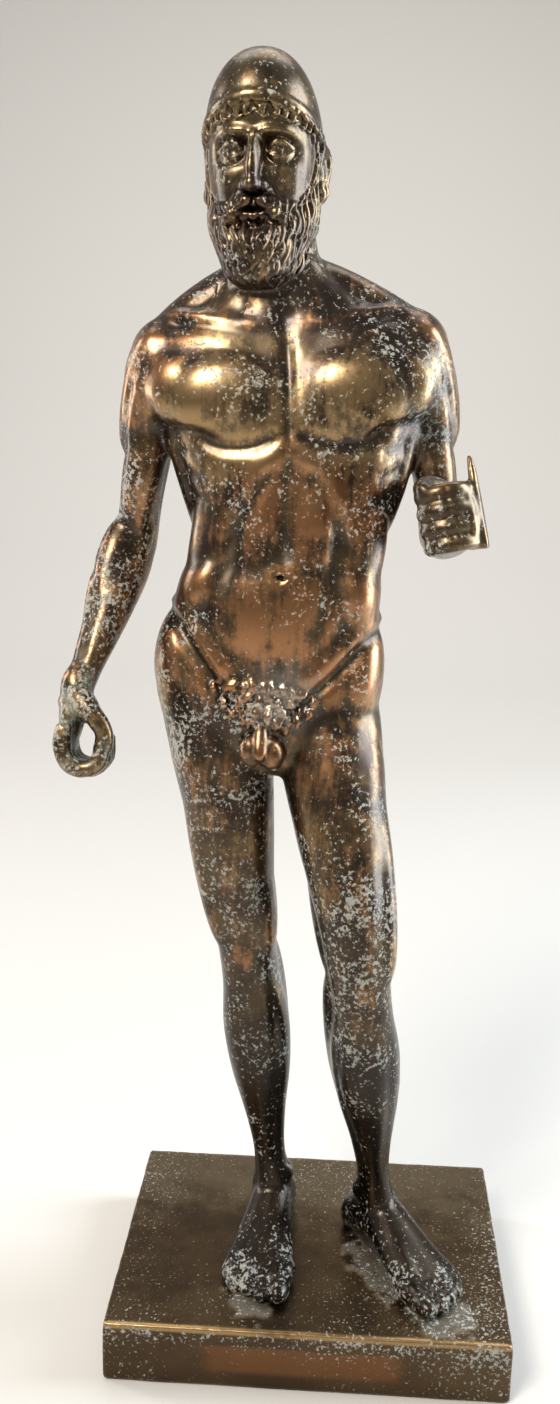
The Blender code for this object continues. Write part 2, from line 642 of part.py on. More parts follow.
def trunk_strokes():
    for points, width, depth in (
        (((2, -19, 288), (12, -21, 284), (24, -19, 284), (33, -14, 288)), 2.6, -1.9),
        (((4, -10, 320), (15, -11, 320), (28, -7, 323), (38, -1, 325)), 2.4, 0.6),
        (((8, -6, 326), (22, -3, 329)), 4.0, -1.6),
        (((1.5, -19, 281), (9, -20, 277), (16, -18.5, 268), (21, -16, 259), (24, -13, 252)), 3.2, 0.6),
        (((2, -19, 277), (8, -20, 273), (14, -19, 264), (18, -17, 255), (21, -14, 248)), 2.6, -0.7),
        (((16, -18, 262), (16.5, -18, 248), (15, -18, 234), (12, -17, 222)), 3.0, -0.8),
        (((34, -2, 228), (27, -9, 222), (20, -14, 213), (12, -15.5, 204), (6, -14, 198)), 2.3, -1.9),
        (((33, -3, 233), (27, -11, 228), (19, -16, 219), (11, -17, 209)), 3.2, 0.9),
        (((3, -20, 256), (14, -19, 255)), 3.0, -0.3),
        (((36, -4, 284), (28, -14, 281)), 2.4, -0.5),
        (((35, -4, 277), (27, -14, 273)), 2.4, -0.5),
        (((34, -4, 270), (26, -13, 265)), 2.4, -0.4),
        (((21.5, -21, 292.5),), 2.6, 0.25),
        (((21.5, -21, 292.5),), 1.0, 0.8),
        (((12, 24, 320), (10, 24, 303), (14, 22, 289)), 3.0, -1.0),
        (((14, 24, 288), (24, 22, 284), (35, 15, 290)), 3.0, -0.9),
        (((12, 20, 326), (26, 20, 318), (40, 14, 318)), 2.6, 0.6),
        (((34, 10, 282), (28, 14, 262), (17, 16, 243), (9, 16, 228)), 3.0, -0.8),
        (((8.5, 17, 226),), 2.6, -0.9),
        (((4, 20, 186), (14, 24, 185), (26, 17, 189)), 2.6, -1.6),
    ):
        stroke(points, width, depth, on_trunk, mirror=True)
    for points, width, depth in (
        (((0, -14, 319), (0, -19, 302), (0, -20, 286)), 2.2, -1.5),
        (((0, -20, 284), (0, -20, 248)), 2.4, -1.1),
        (((0, -20, 240), (0, -19, 220)), 1.8, -0.5),
        (((0, -20, 244),), 3.4, 0.5),
        (((0, -20, 245), (0, -20, 243)), 1.5, -2.4),
        (((0, 22, 335), (0, 21, 310), (0, 16, 270), (0, 14, 245), (0, 17, 224)), 3.0, -1.9),
        (((0, 20, 219), (0, 25, 205), (0, 22, 192), (0, 14, 183)), 2.4, -3.4),
    ):
        stroke(points, width, depth, on_trunk)
    stroke((on_trunk((0, -11, 322)),), 2.6, -2.0)


def limb_strokes(side):
    hip, knee, ankle = HIPS[side], KNEES[side], ANKLES[side]
    front = np.array((0, -1, 0)) @ turned(z=FOOT_TURN[side] * 0.7)
    across = np.array((side, 0, 0))
    for points, width, depth in (
        (((0.0, 13, 12), (0.25, 3, 18), (0.5, -7, 15)), 3.4, -0.4),
        (((0.5, -5, 17), (0.75, -4.5, 14), (0.9, -4, 12)), 3.0, -0.35),
        (((0.5, 7, 16), (0.75, 6.5, 13), (0.92, 5, 11)), 3.0, -0.4),
        (((0.22, 0, -20), (0.7, 0, -14), (0.98, 0, -11)), 2.6, -0.8),
        (((0.93, -7, 9), (1.02, -6, 10), (1.07, 0, 11), (1.02, 6, 10), (0.93, 7, 9)), 2.6, -0.4),
        (((0.94, -4, 12), (0.92, 0, 13), (0.94, 4, 12)), 2.4, -0.3),
    ):
        places = [hip + (knee - hip) * t + across * x + front * y for t, x, y in points]
        stroke(places, width, depth)
    for points, width, depth in (
        (((0.06, 0, -14), (0.42, 0, -16)), 2.2, -0.7),
        (((0.42, -9, -7), (0.6, 0, -13), (0.42, 9, -7)), 2.2, -0.7),
        (((0.12, -7, 6), (0.5, -5.5, 5.5), (0.9, -4, 5)), 2.2, -0.8),
        (((0.1, 4, 8), (0.5, 3, 7.5), (0.85, 2, 6)), 1.8, -0.5),
        (((0.7, 5, -5), (0.96, 5, -5)), 2.4, -1.0),
        (((0.7, -5, -5), (0.96, -5, -5)), 2.4, -1.0),
    ):
        places = [knee + (ankle - knee) * t + across * x + front * y for t, x, y in points]
        stroke(places, width, depth)
    shoulder, elbow, wrist = SHOULDERS[side], ELBOWS[side], WRISTS[side]
    upper, fore = elbow - shoulder, wrist - elbow
    ahead = np.array((0, -1, 0))
    for points, width, depth in (
        (((0.1, 6, 12), (0.35, 9, 10), (0.58, 10, 2)), 2.0, -0.9),
        (((0.58, 10, 1), (0.4, 10, -8), (0.2, 5, -12)), 2.0, -0.8),
        (((0.5, 9, 2), (0.95, 8, 1)), 2.2, -1.0),
        (((0.25, -9, 1), (0.9, -8, 0)), 2.2, -1.0),
        (((0.5, 1, -11), (0.85, 1, -10)), 2.6, -0.5),
    ):
        places = [shoulder + upper * t + across * x + ahead * y for t, x, y in points]
        stroke(places, width, depth)
    for points, width, depth in (
        (((0.02, 6, 4), (0.5, 4, 6), (0.85, 1, 5)), 1.9, -0.7),
        (((0.05, 7, -5), (0.7, 5, -5)), 2.2, -0.6),
    ):
        places = [elbow + fore * t + across * x + ahead * y for t, x, y in points]
        stroke(places, width, depth)


def hill(value, middle, spread, power=2):
    return np.exp(-np.abs((value - middle) / spread) ** power)


def face_relief(x, z):
    """How far the carved face stands out in front of the smooth head, at points across and up from
    its middle. Calm and level, on thirds of 16.5 parts and fifths of an eye's width."""
    x = np.abs(x)
    across, up = (x - 7.2) / 3.8, z - 6.0
    upper, lower = 1.7 * (1 - across**2), -1.15 * (1 - across**2)
    lidded = hill(across, 0, 1.12, 6)
    brow_line = 5.2 - 0.035 * (x - 6) ** 2
    relief = -2.6 * hill(x, 7.0, 5.0, 3) * hill(up, 0.3, 3.6, 3)
    relief += -1.0 * hill(x, 3.2, 1.5) * hill(up, 0.8, 2.6)
    relief += 1.6 * hill(up, brow_line, 1.7) * hill(x, 6.5, 6.5, 4)
    relief += 2.3 * np.sqrt(np.clip(1 - across**2 * 0.9 - (up / 3.4) ** 2, 0, 1))
    relief += 0.62 * lidded * np.clip((up - upper + 0.1) / 0.25, 0, 1) * hill(up, upper + 0.5, 0.9)
    relief += 0.50 * lidded * np.clip((lower - up + 0.1) / 0.25, 0, 1) * hill(up, lower - 0.4, 0.75)
    relief += -0.45 * lidded * hill(up, upper + 1.9, 0.45)
    relief += 0.9 * hill(x, 10.2, 3.6) * hill(z, -0.6, 2.8)
    relief += -0.9 * hill(x, 5.2 + (-3 - z) * 0.45, 1.0) * hill(z, -4.5, 3.0)
    relief += -0.8 * hill(x, 0, 2.2) * hill(z, 9.6, 1.6)
    relief += 0.9 * hill(z, -7.6, 1.2) * hill(x, 0, 3.6, 4)
    relief += 1.1 * hill(z, -9.3 + 0.25 * hill(x, 0, 1.2), 0.75) * hill(x, 0, 4.2, 4)
    relief += 1.4 * hill(z, -11.6, 0.95) * hill(x, 0, 3.7, 4)
    relief += -0.9 * hill(z, -10.45, 0.38) * hill(x, 0, 4.6, 4)
    relief += -0.8 * hill(z, -13.8, 1.0) * hill(x, 0, 4.0, 4)
    relief += -0.9 * hill(x, 1.4, 0.75) * hill(z, -5.6, 0.8)
    return relief


def carve_face(obj):
    """Moves the points of the head's front out and in by the relief of the face."""
    mesh = obj.data
    places, normals = rows_of(mesh.vertices, "co") / PART, rows_of(mesh.vertices, "normal")
    spin = turned(*HEAD_TURN)
    local = (places - HEAD_CENTRE) @ np.linalg.inv(spin)
    forward = -(normals @ np.linalg.inv(spin))[:, 1]
    near = (np.abs(local[:, 0]) < 16) & (np.abs(local[:, 2]) < 20) & (local[:, 1] < -4) & (forward > 0)
    relief = face_relief(local[:, 0], local[:, 2]) * np.clip(forward * 2.5, 0, 1) * near
    mesh.vertices.foreach_set("co", ((places + relief[:, None] * ((0, -1, 0) @ spin)) * PART).ravel())
    mesh.update()


def lock_relief(places, locks):
    """Height of carved locks at points (round the head, up). A lock is (path, width, height)."""
    height = np.zeros(len(places))
    for path, width, rise in locks:
        path = np.array(path, float)
        curve = smooth_rows(np.column_stack((np.linspace(0, 1, len(path)), path)), np.linspace(0, 1, 14))
        low, high = curve.min(0) - width, curve.max(0) + width
        near = np.flatnonzero(((places > low) & (places < high)).all(1))
        gaps = np.linalg.norm(places[near, None] - curve[None], axis=2)
        best = gaps.argmin(1)
        share = best / 13
        half = width * np.clip(1.15 - share**2.2, 0.25, 1) * np.clip(0.5 + 3 * share, 0.5, 1)
        ridge = np.clip(1 - (gaps[np.arange(len(near)), best] / half) ** 2, 0, None) ** 0.6
        height[near] = np.maximum(height[near], rise * ridge * (0.75 + 0.25 * np.sin(math.pi * share)))
    return height


def beard_locks():
    """Locks in tiers that overlap downward, as (round the head, height) paths."""
    locks = []
    tiers = ((-5.0, 8.0, 8), (-11.5, 8.5, 9), (-17.5, 8.5, 9), (-23, 8, 7))
    for tier, (top, length, count) in enumerate(tiers):
        for side in (-1, 1):
            for i in range(count):
                u = side * (1.6 + 3.3 * i + 1.6 * (tier % 2))
                start = top + 0.85 * max(0, abs(u) - 9) * (1 if tier == 0 else 0.55)
                sway = 1.3 * math.sin(1.7 * i + tier * 2.1)
                path = (
                    (u, start + 1.5),
                    (u + side * 0.7 + sway * 0.6, start - length * 0.33),
                    (u - side * 0.8 - sway * 0.5, start - length * 0.7),
                    (u - side * 1.8 + sway, start - length),
                )
                locks.append((path, 2.1, 1.35 - 0.12 * tier))
    for side in (-1, 1):
        for i in range(4):
            path = (
                (side * (0.4 + 1.1 * i), -6.6 - 0.3 * i),
                (side * (4 + 1.5 * i), -7.6 - 0.9 * i),
                (side * (8 + 1.4 * i), -10.5 - 1.3 * i),
                (side * (10.5 + 1.0 * i), -15 - 1.0 * i),
            )
            locks.append((path, 1.25, 1.3))
    return locks


def hair_locks():
    """A row of short comma locks below the helmet's rim, all round but for the face's middle."""
    locks = []
    for i in range(60):
        angle = -180 + 360 * (i + 0.5) / 60
        u = math.radians(angle) * 19
        edge = float(rim_height(math.sin(math.radians(angle)), -math.cos(math.radians(angle))))
        length = 3.4 + 0.9 * math.sin(2.3 * i) if abs(angle) < 60 else 9.5
        lean = 1.8 * (1 if angle > 0 else -1) * (1 if i % 3 else -0.6)
        path = ((u, edge + 1.5), (u + lean * 0.2, edge - length * 0.4), (u + lean, edge - length))
        locks.append((path, 1.45, 1.1))
        if abs(angle) > 95:
            path = ((u + 1.3, edge - 6), (u + 1.3 - lean * 0.4, edge - 11), (u + 1.3 + lean, edge - 16))
            locks.append((path, 1.9, 1.2))
    return locks


def carve_hair(obj):
    """Raises the locks of the hair and beard out of the head."""
    mesh = obj.data
    places, normals = rows_of(mesh.vertices, "co") / PART, rows_of(mesh.vertices, "normal")
    local = (places - HEAD_CENTRE) @ np.linalg.inv(turned(*HEAD_TURN))
    near = np.flatnonzero((np.abs(local) < (24, 30, 38)).all(1) & (local[:, 2] > -35))
    x, y, z = local[near].T
    angle = np.arctan2(x, -(y - 1.5))
    flat = np.stack((angle * 18, z), -1)
    turn = np.degrees(np.abs(angle))
    below_rim = rim_height(x, np.cos(math.pi - angle)) - z
    cheek_line = np.interp(turn, (0, 15, 25, 45, 62, 75, 90, 110), (-5.5, -5.5, -7.5, -7, -2, 8, 8, -10))
    beard_end = np.interp(np.abs(x), (0, 5, 9, 12, 14.5, 16.5), (-33, -32, -29.5, -25.5, -20.5, -12))
    bearded = np.clip((cheek_line - z) / 1.5, 0, 1) * np.clip((z - beard_end) / 2, 0, 1) * (turn < 108)
    mouth = np.exp(-((x / 5.5) ** 4) - ((z + 10.6) / 2.2) ** 4)
    bearded *= 1 - mouth
    bearded *= np.clip((-y - np.interp(z, (-32, -24, -10, 0), (8, 4, -4, -9)) + 2) / 3, 0, 1)
    haired = np.clip((below_rim + 0.5) / 1.0, 0, 1) * (below_rim < 18)
    haired *= np.where(turn < 62, below_rim < 6.2, 1) * ((turn > np.where(z > -6, 114, 100)) | (turn < 80))
    haired = np.maximum(haired * (1 - bearded), 0)
    push = bearded * (lock_relief(flat, beard_locks()) - 0.35)
    push = np.maximum(push, haired * (lock_relief(flat, hair_locks()) - 0.1) * (bearded < 0.5))
    places[near] += normals[near] * push[:, None]
    mesh.vertices.foreach_set("co", (places * PART).ravel())
    mesh.update()


def curl_strokes():
    """Rows of small round curls above the genitals."""
    for row, (height, reach) in enumerate(((210, 6), (206.5, 5), (203, 4), (199.5, 2))):
        for i in range(-reach, reach + 1):
            x = 2.5 * (i + 0.5 * (row % 2))
            place = (x, -17, height - 0.012 * x * x * (row + 1) + 0.6 * math.sin(2.4 * i + row))
            stroke((place,), 1.5, 1.3, on_trunk)
            stroke((place,), 0.6, -0.8, on_trunk)


def fine_zones(obj):
    """How much each point belongs to a part with small features: head, hands, feet, groin."""
    places = rows_of(obj.data.vertices, "co") / PART
    groin = on_trunk((0, -22, 188))
    zones = (
        (HEAD_CENTRE + (0, 0, 6), 30, 36),
        (WRISTS[-1] + (0, -4, -14), 15, 22),
        (WRISTS[1] + (0, -14, 3), 18, 24),
        (groin, 8.5, 11.5),
    )
    weight = np.zeros(len(places))
    for centre, inner, outer in zones:
        gap = np.linalg.norm(places - centre, axis=1)
        weight = np.maximum(weight, np.clip((outer - gap) / (outer - inner), 0, 1))
    return np.maximum(weight, np.clip((14 - places[:, 2]) / 7, 0, 1))


def refine_head(obj):
    """Splits the faces of the head in four, so it can take finer strokes."""
    made = bmesh.new()
    made.from_mesh(obj.data)
    centre = Vector((HEAD_CENTRE + (0, 0, 2)) * PART)
    near = {v for v in made.verts if (v.co - centre).length < 40 * PART and v.co.z > 327 * PART}
    edges = [edge for edge in made.edges if edge.verts[0] in near and edge.verts[1] in near]
    bmesh.ops.subdivide_edges(made, edges=edges, cuts=1, use_grid_fill=True)
    made.to_mesh(obj.data)
    made.free()


def zones(obj):
    """Which points belong to the head, to the hands, feet and groin, and to the rest."""
    places = rows_of(obj.data.vertices, "co") / PART
    head = (np.linalg.norm(places - HEAD_CENTRE - (0, 0, 2), axis=1) < 40) & (places[:, 2] > 328)
    details = (fine_zones(obj) > 0.4) & ~head
    return {"body": ~(head | details), "details": details, "head": head}


def thin_out(obj):
    """Brings the skin down to its triangle budget, zone by zone, with more for small features."""
    apply_modifier(obj, "TRIANGULATE")
    for name, budget in TRIANGLES.items():
        zone = zones(obj)[name]
        weigh(obj, name, zone.astype(float))
        corners = np.empty(len(obj.data.polygons) * 3, dtype=int)
        obj.data.polygons.foreach_get("vertices", corners)
        total = len(obj.data.polygons)
        own = np.count_nonzero(zone[corners.reshape(-1, 3)].all(1))
        kept = (total - own + budget) / total
        apply_modifier(obj, "DECIMATE", ratio=kept, vertex_group=name, vertex_group_factor=1e-7)


def flatten_soles(obj):
    """Cuts the feet off flat where they meet the plinth."""
    made = bmesh.new()
    made.from_mesh(obj.data)
    everything = made.verts[:] + made.edges[:] + made.faces[:]
    bmesh.ops.bisect_plane(
        made, geom=everything, plane_co=(0, 0, 0), plane_no=(0, 0, 1), clear_inner=True, dist=1e-7
    )
    bmesh.ops.holes_fill(made, edges=[edge for edge in made.edges if edge.is_boundary])
    bmesh.ops.triangulate(made, faces=made.faces[:])
    made.to_mesh(obj.data)
    made.free()


def weigh(obj, name, weights):
    group = obj.vertex_groups.new(name=name)
    for step in range(21):
        chosen = np.flatnonzero(np.round(weights * 20) == step)
        group.add(chosen.tolist(), step / 20, "REPLACE")


def apply_modifier(obj, kind, **settings):
    modifier = obj.modifiers.new(kind.title(), kind)
    for name, value in settings.items():
        setattr(modifier, name, value)
    bpy.context.view_layer.objects.active = obj
    bpy.ops.object.modifier_apply(modifier=modifier.name)


def build_figure(collection):
    trunk()
    for side in (-1, 1):
        leg(side)
        arm(side)
        hand(side)
    genitals()
    neck()
    head()
    beard()
    helmet()
    figure = bpy.data.objects.new("figure", pressed_clay("figure"))
    collection.objects.link(figure)
    apply_modifier(figure, "REMESH", mode="VOXEL", voxel_size=SKIN_VOXEL, use_smooth_shade=True)
    weigh(figure, "skin", 1 - fine_zones(figure))
    weigh(figure, "detail", fine_zones(figure))
    apply_modifier(figure, "SMOOTH", factor=0.5, iterations=SKIN_SMOOTHING, vertex_group="skin")
    apply_modifier(figure, "SMOOTH", factor=0.5, iterations=DETAIL_SMOOTHING, vertex_group="detail")
    trunk_strokes()
    for side in (-1, 1):
        limb_strokes(side)
    carve(figure)
    curl_strokes()
    carve(figure)
    refine_head(figure)
    carve_face(figure)
    carve_hair(figure)
    if THIN_OUT:
        thin_out(figure)
    flatten_soles(figure)
    figure.data.transform(Matrix.Translation((0, 0, PLINTH_HEIGHT + SOLE_GAP)))
    return figure


def build_plinth(collection):
    """A plain slab whose sides lean in a little toward the top."""
    bpy.ops.mesh.primitive_cube_add(size=1, location=(0, 0, PLINTH_HEIGHT / 2))
    plinth = bpy.context.object
    plinth.name = plinth.data.name = "plinth"
    for vert in plinth.data.vertices:
        inset = PLINTH_DRAFT if vert.co.z > 0 else 0
        vert.co.x *= PLINTH_WIDTH - 2 * inset
        vert.co.y *= PLINTH_DEPTH - 2 * inset
        vert.co.z *= PLINTH_HEIGHT
    for old in plinth.users_collection:
        old.objects.unlink(plinth)
    collection.objects.link(plinth)
    bevel = plinth.modifiers.new("Rounded edges", "BEVEL")
    bevel.width = PLINTH_EDGE_ROUND
    bevel.segments = 3
    return plinth


def bronze():
    material = bpy.data.materials.new("patinated_bronze")
    material.use_nodes = True
    shader = material.node_tree.nodes["Principled BSDF"]
    shader.inputs["Base Color"].default_value = (0.22, 0.13, 0.075, 1)
    shader.inputs["Metallic"].default_value = 1.0
    shader.inputs["Roughness"].default_value = 0.34
    return material


def main():
    for obj in list(bpy.data.objects):
        bpy.data.objects.remove(obj)
    collection = bpy.data.collections.new("warrior_statue")
    bpy.context.scene.collection.children.link(collection)
    figure = build_figure(collection)
    plinth = build_plinth(collection)
    material = bronze()
    for piece in (figure, plinth):
        piece.data.materials.append(material)


main()
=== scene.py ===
"""The visual model of a warrior statuette: the carved figure, its worn plinth, and the studio.

The figure is pressed together and carved as the part's source does it, on the same canon of 400
parts from sole to helmet top, and keeps far more of its skin. The plinth is a slab with worn edges
and the rough cast patches round the feet. Both are bronze under a brown patina.
"""

import functools
import math

import bmesh
import bpy
import numpy as np
from mathutils import Matrix, Vector, noise
from mathutils.bvhtree import BVHTree


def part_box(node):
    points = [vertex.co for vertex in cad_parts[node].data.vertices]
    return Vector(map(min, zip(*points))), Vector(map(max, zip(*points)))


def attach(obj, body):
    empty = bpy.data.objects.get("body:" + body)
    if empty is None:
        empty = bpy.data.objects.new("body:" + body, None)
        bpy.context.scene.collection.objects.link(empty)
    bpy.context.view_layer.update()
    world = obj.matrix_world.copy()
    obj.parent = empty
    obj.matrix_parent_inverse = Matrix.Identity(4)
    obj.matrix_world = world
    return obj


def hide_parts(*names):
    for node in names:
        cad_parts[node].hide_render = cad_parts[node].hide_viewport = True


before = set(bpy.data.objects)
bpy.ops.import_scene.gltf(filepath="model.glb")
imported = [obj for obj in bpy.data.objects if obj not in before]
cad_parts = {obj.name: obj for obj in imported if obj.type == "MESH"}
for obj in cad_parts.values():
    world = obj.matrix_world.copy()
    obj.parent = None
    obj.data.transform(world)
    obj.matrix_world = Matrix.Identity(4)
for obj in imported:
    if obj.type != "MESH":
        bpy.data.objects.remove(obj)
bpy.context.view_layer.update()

bl_info = {
    "name": "Warrior statuette",
    "version": (1, 0, 0),
    "blender": (4, 5, 0),
    "location": "View3D > Sidebar > Statuette",
    "description": "Builds a bronze statuette of a standing warrior on its plinth",
    "category": "Object",
}

PLINTH_LOW, PLINTH_HIGH = (Vector(corner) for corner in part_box("plinth"))
SOLE_LEVEL = Vector(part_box("figure")[0]).z

# The canon: the figure is 400 parts tall, and every size of it is a number of parts
STATURE = 0.400
CANON_PARTS = 400
PART = STATURE / CANON_PARTS
SKIN_VOXEL = 0.7 * PART
SKIN_SMOOTHING = 44
DETAIL_SMOOTHING = 6
TRIANGLES = {"body": 52000, "details": 42000, "head": 88000}
RIM_BAND = 3.4
RIM_PROUD = 0.9
HELMET_TOP = 36.5
HEAD_REACH = 40
LOCK_STEPS = 40
FRINGE_LOCKS = 54

# Joints of the skeleton, in parts, measured from the middle of the plinth's top.
# Side -1 is the figure's right, the leg that carries its weight.
HIPS = {-1: np.array((-38.0, 3, 206)), 1: np.array((-2.5, 3, 202))}
KNEES = {-1: np.array((-25.0, -4, 113)), 1: np.array((14.0, -22, 110))}
ANKLES = {-1: np.array((-14.5, 8, 14)), 1: np.array((22.5, 1, 14))}
SHOULDERS = {-1: np.array((-56.5, 5, 312)), 1: np.array((24.5, 5, 316))}
ELBOWS = {-1: np.array((-66.0, 10, 250)), 1: np.array((35.5, 13, 255))}
WRISTS = {-1: np.array((-80.0, -19, 205)), 1: np.array((37.0, -40, 264))}
FOOT_TURN = {-1: -5, 1: 33}
HEAD_CENTRE = np.array((-24.5, 0, 363))
HEAD_TURN = (3, -1, -6)

# How the trunk is posed: (height, sideways shift, rise toward the figure's left)
TRUNK_POSE = (
    (170, -20.0, -0.10),
    (205, -20.5, -0.10),
    (230, -18.0, -0.07),
    (258, -14.0, 0.0),
    (285, -14.0, 0.04),
    (315, -15.8, 0.05),
    (335, -18.5, 0.03),
    (352, -21.0, 0.0),
)

# The camera, fitted to the plinth and the figure in the photograph
PHOTO_HEIGHT = 1404
CAMERA = {
    "focal_px": 1300,
    "turn": 3.0,
    "tilt": 13.0,
    "roll": 1.3,
    "away": 0.4195,
    "aside": -0.016,
    "height": 0.3193,
}

# Each light: its name, place, what it aims at, width, height, power in watts and tint
STATUE_MIDDLE = (-0.01, 0, 0.24)
STUDIO_LIGHTS = (
    ("key_light", (-0.42, -0.62, 0.90), STATUE_MIDDLE, 0.34, 0.34, 13.0, (1.0, 0.94, 0.85)),
    ("window_light", (0.78, 0.14, 0.45), STATUE_MIDDLE, 0.40, 1.00, 16.0, (0.80, 0.90, 1.0)),
    ("left_light", (-0.95, 0.28, 0.45), STATUE_MIDDLE, 0.20, 0.80, 5.0, (0.95, 0.97, 1.0)),
    ("floor_light", (0.0, 0.8, 1.8), STATUE_MIDDLE, 1.6, 0.8, 9.0, (1.0, 0.99, 0.97)),
    ("wall_light", (0.0, 0.6, 1.5), (0.0, 2.6, 0.5), 1.6, 0.8, 12.0, (1.0, 0.99, 0.97)),
)
WORLD_TINT = (1.0, 0.97, 0.93, 1)
WORLD_STRENGTH = 0.34

# Rough cast metal round the feet: from the heel to the toes, and how far it spreads
FOOT_PATCHES = (
    (Vector((0.024, -0.004, PLINTH_HIGH.z)), Vector((0.044, -0.038, PLINTH_HIGH.z)), 0.0125),
    (Vector((-0.018, -0.010, PLINTH_HIGH.z)), Vector((-0.020, -0.038, PLINTH_HIGH.z)), 0.0075),
)

# The plinth's surface, in metres: its cast unevenness, its pits, the wear of its upper edges, and
# how much of its foot stays flat
CAST_SWELL, CAST_SUNK = 0.00014, 0.00016
PIT_DEPTH = 0.0004
EDGE_REACH, EDGE_WEAR = 0.003, 0.0003
UNDERSIDE = 0.0004

clay = []
strokes = []


def smooth_rows(rows, keys):
    """Each column of the rows as a smooth curve over the rows' first value, read at the keys."""
    rows = np.array(rows, float)
    knots, values = rows[:, 0], rows[:, 1:]
    keys = np.clip(np.asarray(keys, float), knots[0], knots[-1])
    slopes = np.gradient(values, knots, axis=0)
    i = np.clip(np.searchsorted(knots, keys, side="right") - 1, 0, len(knots) - 2)
    span = (knots[i + 1] - knots[i])[..., None]
    t = (keys - knots[i])[..., None] / span
    return (
        (2 * t**3 - 3 * t**2 + 1) * values[i]
        + (t**3 - 2 * t**2 + t) * span * slopes[i]
        + (3 * t**2 - 2 * t**3) * values[i + 1]
        + (t**3 - t**2) * span * slopes[i + 1]
    )


def still(points):
    return points


def on_trunk(points):
    """Points of the upright, even trunk, moved to where the pose carries them."""
    points = np.array(points, float)
    shift, rise = smooth_rows(TRUNK_POSE, points[..., 2]).T
    return points + np.stack((shift, 0 * shift, (rise * points[..., 0].T)), axis=-1)


def turned(x=0.0, y=0.0, z=0.0):
    """The matrix of a turn by three angles in degrees, X first, for points held as rows."""
    spin = Matrix.Rotation(math.radians(z), 3, "Z")
    spin @= Matrix.Rotation(math.radians(y), 3, "Y")
    spin @= Matrix.Rotation(math.radians(x), 3, "X")
    return np.array(spin).T


def on_head(points):
    """Points of the head's own frame, whose origin lies between the ears."""
    return np.array(points, float) @ turned(*HEAD_TURN) + HEAD_CENTRE


def unit(vector):
    vector = np.array(vector, float)
    return vector / np.linalg.norm(vector, axis=-1, keepdims=True)


def frame_from(along, facing):
    """Across, facing and along as unit vectors, at right angles."""
    along = unit(along)
    facing = np.array(facing, float)
    facing = unit(facing - along * (along * facing).sum(-1, keepdims=True))
    return np.cross(facing, along), facing, along


@functools.cache
def unit_sphere(rings, around):
    """A ball's points, its faces, and each point's share of the way between the poles and angle."""
    made = bmesh.new()
    bmesh.ops.create_uvsphere(made, u_segments=around, v_segments=rings, radius=1.0)
    points = np.array([vert.co for vert in made.verts])
    faces = [[vert.index for vert in face.verts] for face in made.faces]
    made.free()
    share = np.arccos(np.clip(points[:, 2], -1, 1)) / math.pi
    return share, np.arctan2(points[:, 1], points[:, 0]), faces


def add_mass(shape, place, rings=16, around=28):
    """Presses a ball into the clay. shape gives its points from each one's share of the way
    between the poles and its angle around them."""
    share, angle, faces = unit_sphere(rings, around)
    clay.append((place(shape(share, angle)) * PART, faces))


def pressed_clay(name):
    """All the masses as one mesh, before they are joined into one skin."""
    mesh = bpy.data.meshes.new(name)
    points = np.concatenate([points for points, faces in clay])
    starts = np.cumsum([0] + [len(points) for points, faces in clay])
    faces = [[i + start for i in face] for start, (_, own) in zip(starts, clay) for face in own]
    mesh.from_pydata(points.tolist(), [], faces)
    return mesh


def ball(centre, half, place=still, turn=(0, 0, 0)):
    """An ellipsoid with the given half sizes, turned by three angles in degrees."""

    def shape(share, angle):
        ring = np.sin(math.pi * share)
        local = np.stack((ring * np.cos(angle), ring * np.sin(angle), np.cos(math.pi * share)), -1)
        return np.array(centre) + local * half @ turned(*turn)

    add_mass(shape, place)


def muscle(start, end, width, depth, facing=(0, -1, 0), belly=0.5, place=still, bend=0.0):
    """A spindle between two points. width and depth are half sizes at its belly, which lies at a
    share of its length. A bend bows it toward its facing side."""
    start, end = np.array(start, float), np.array(end, float)
    across, front, along = frame_from(end - start, facing)
    length = np.linalg.norm(end - start)
    power = math.log(belly) / math.log(0.5)

    def shape(share, angle):
        ring = np.sin(math.pi * share) ** 0.8
        t = ((1 - np.cos(math.pi * share)) / 2) ** power
        out = width * ring * np.cos(angle)
        up = depth * ring * np.sin(angle) + bend * 4 * t * (1 - t)
        return start + np.outer(length * t, along) + np.outer(out, across) + np.outer(up, front)

    add_mass(shape, place)


def stations(share, count):
    """The number of the ring that each point is on, and whether it is a pole."""
    ring = np.clip(np.round(share * (count + 1)) - 1, 0, count - 1)
    return ring / (count - 1), (share < 1e-4) | (share > 1 - 1e-4)


def squared(angle, square):
    """A circle's points, pushed out toward a square as the exponent rises above 2."""
    x, y = np.cos(angle), np.sin(angle)
    size = (np.abs(x) ** square + np.abs(y) ** square) ** (-1 / square)
    return x * size, y * size


def limb(path, rows, facing, place=still, outer=1, count=36, square=2.0):
    """A skin lofted along a path of joints. Each row is (place along the path, outer, inner, front,
    back), the last four as distances from the path."""
    before, after = path[0] * 1.3 - path[1] * 0.3, path[-1] * 1.3 - path[-2] * 0.3
    joints = [(-0.3, *before), *((i, *p) for i, p in enumerate(path)), (len(path) - 0.7, *after)]

    def shape(share, angle):
        ring, pole = stations(share, count)
        t = rows[0][0] + (rows[-1][0] - rows[0][0]) * ring
        centre = smooth_rows(joints, t)
        ahead = smooth_rows(joints, t + 0.05) - smooth_rows(joints, t - 0.05)
        across, front, _ = frame_from(ahead, facing)
        out, inn, fore, back = smooth_rows(rows, t).T
        x, y = squared(angle, square)
        across = across * outer * np.sign(across[:, :1])
        side = np.where(x > 0, out, inn) * x * ~pole
        depth = np.where(y > 0, fore, back) * y * ~pole
        return centre + across * side[:, None] + front * depth[:, None]

    add_mass(shape, place, rings=count + 1, around=28)


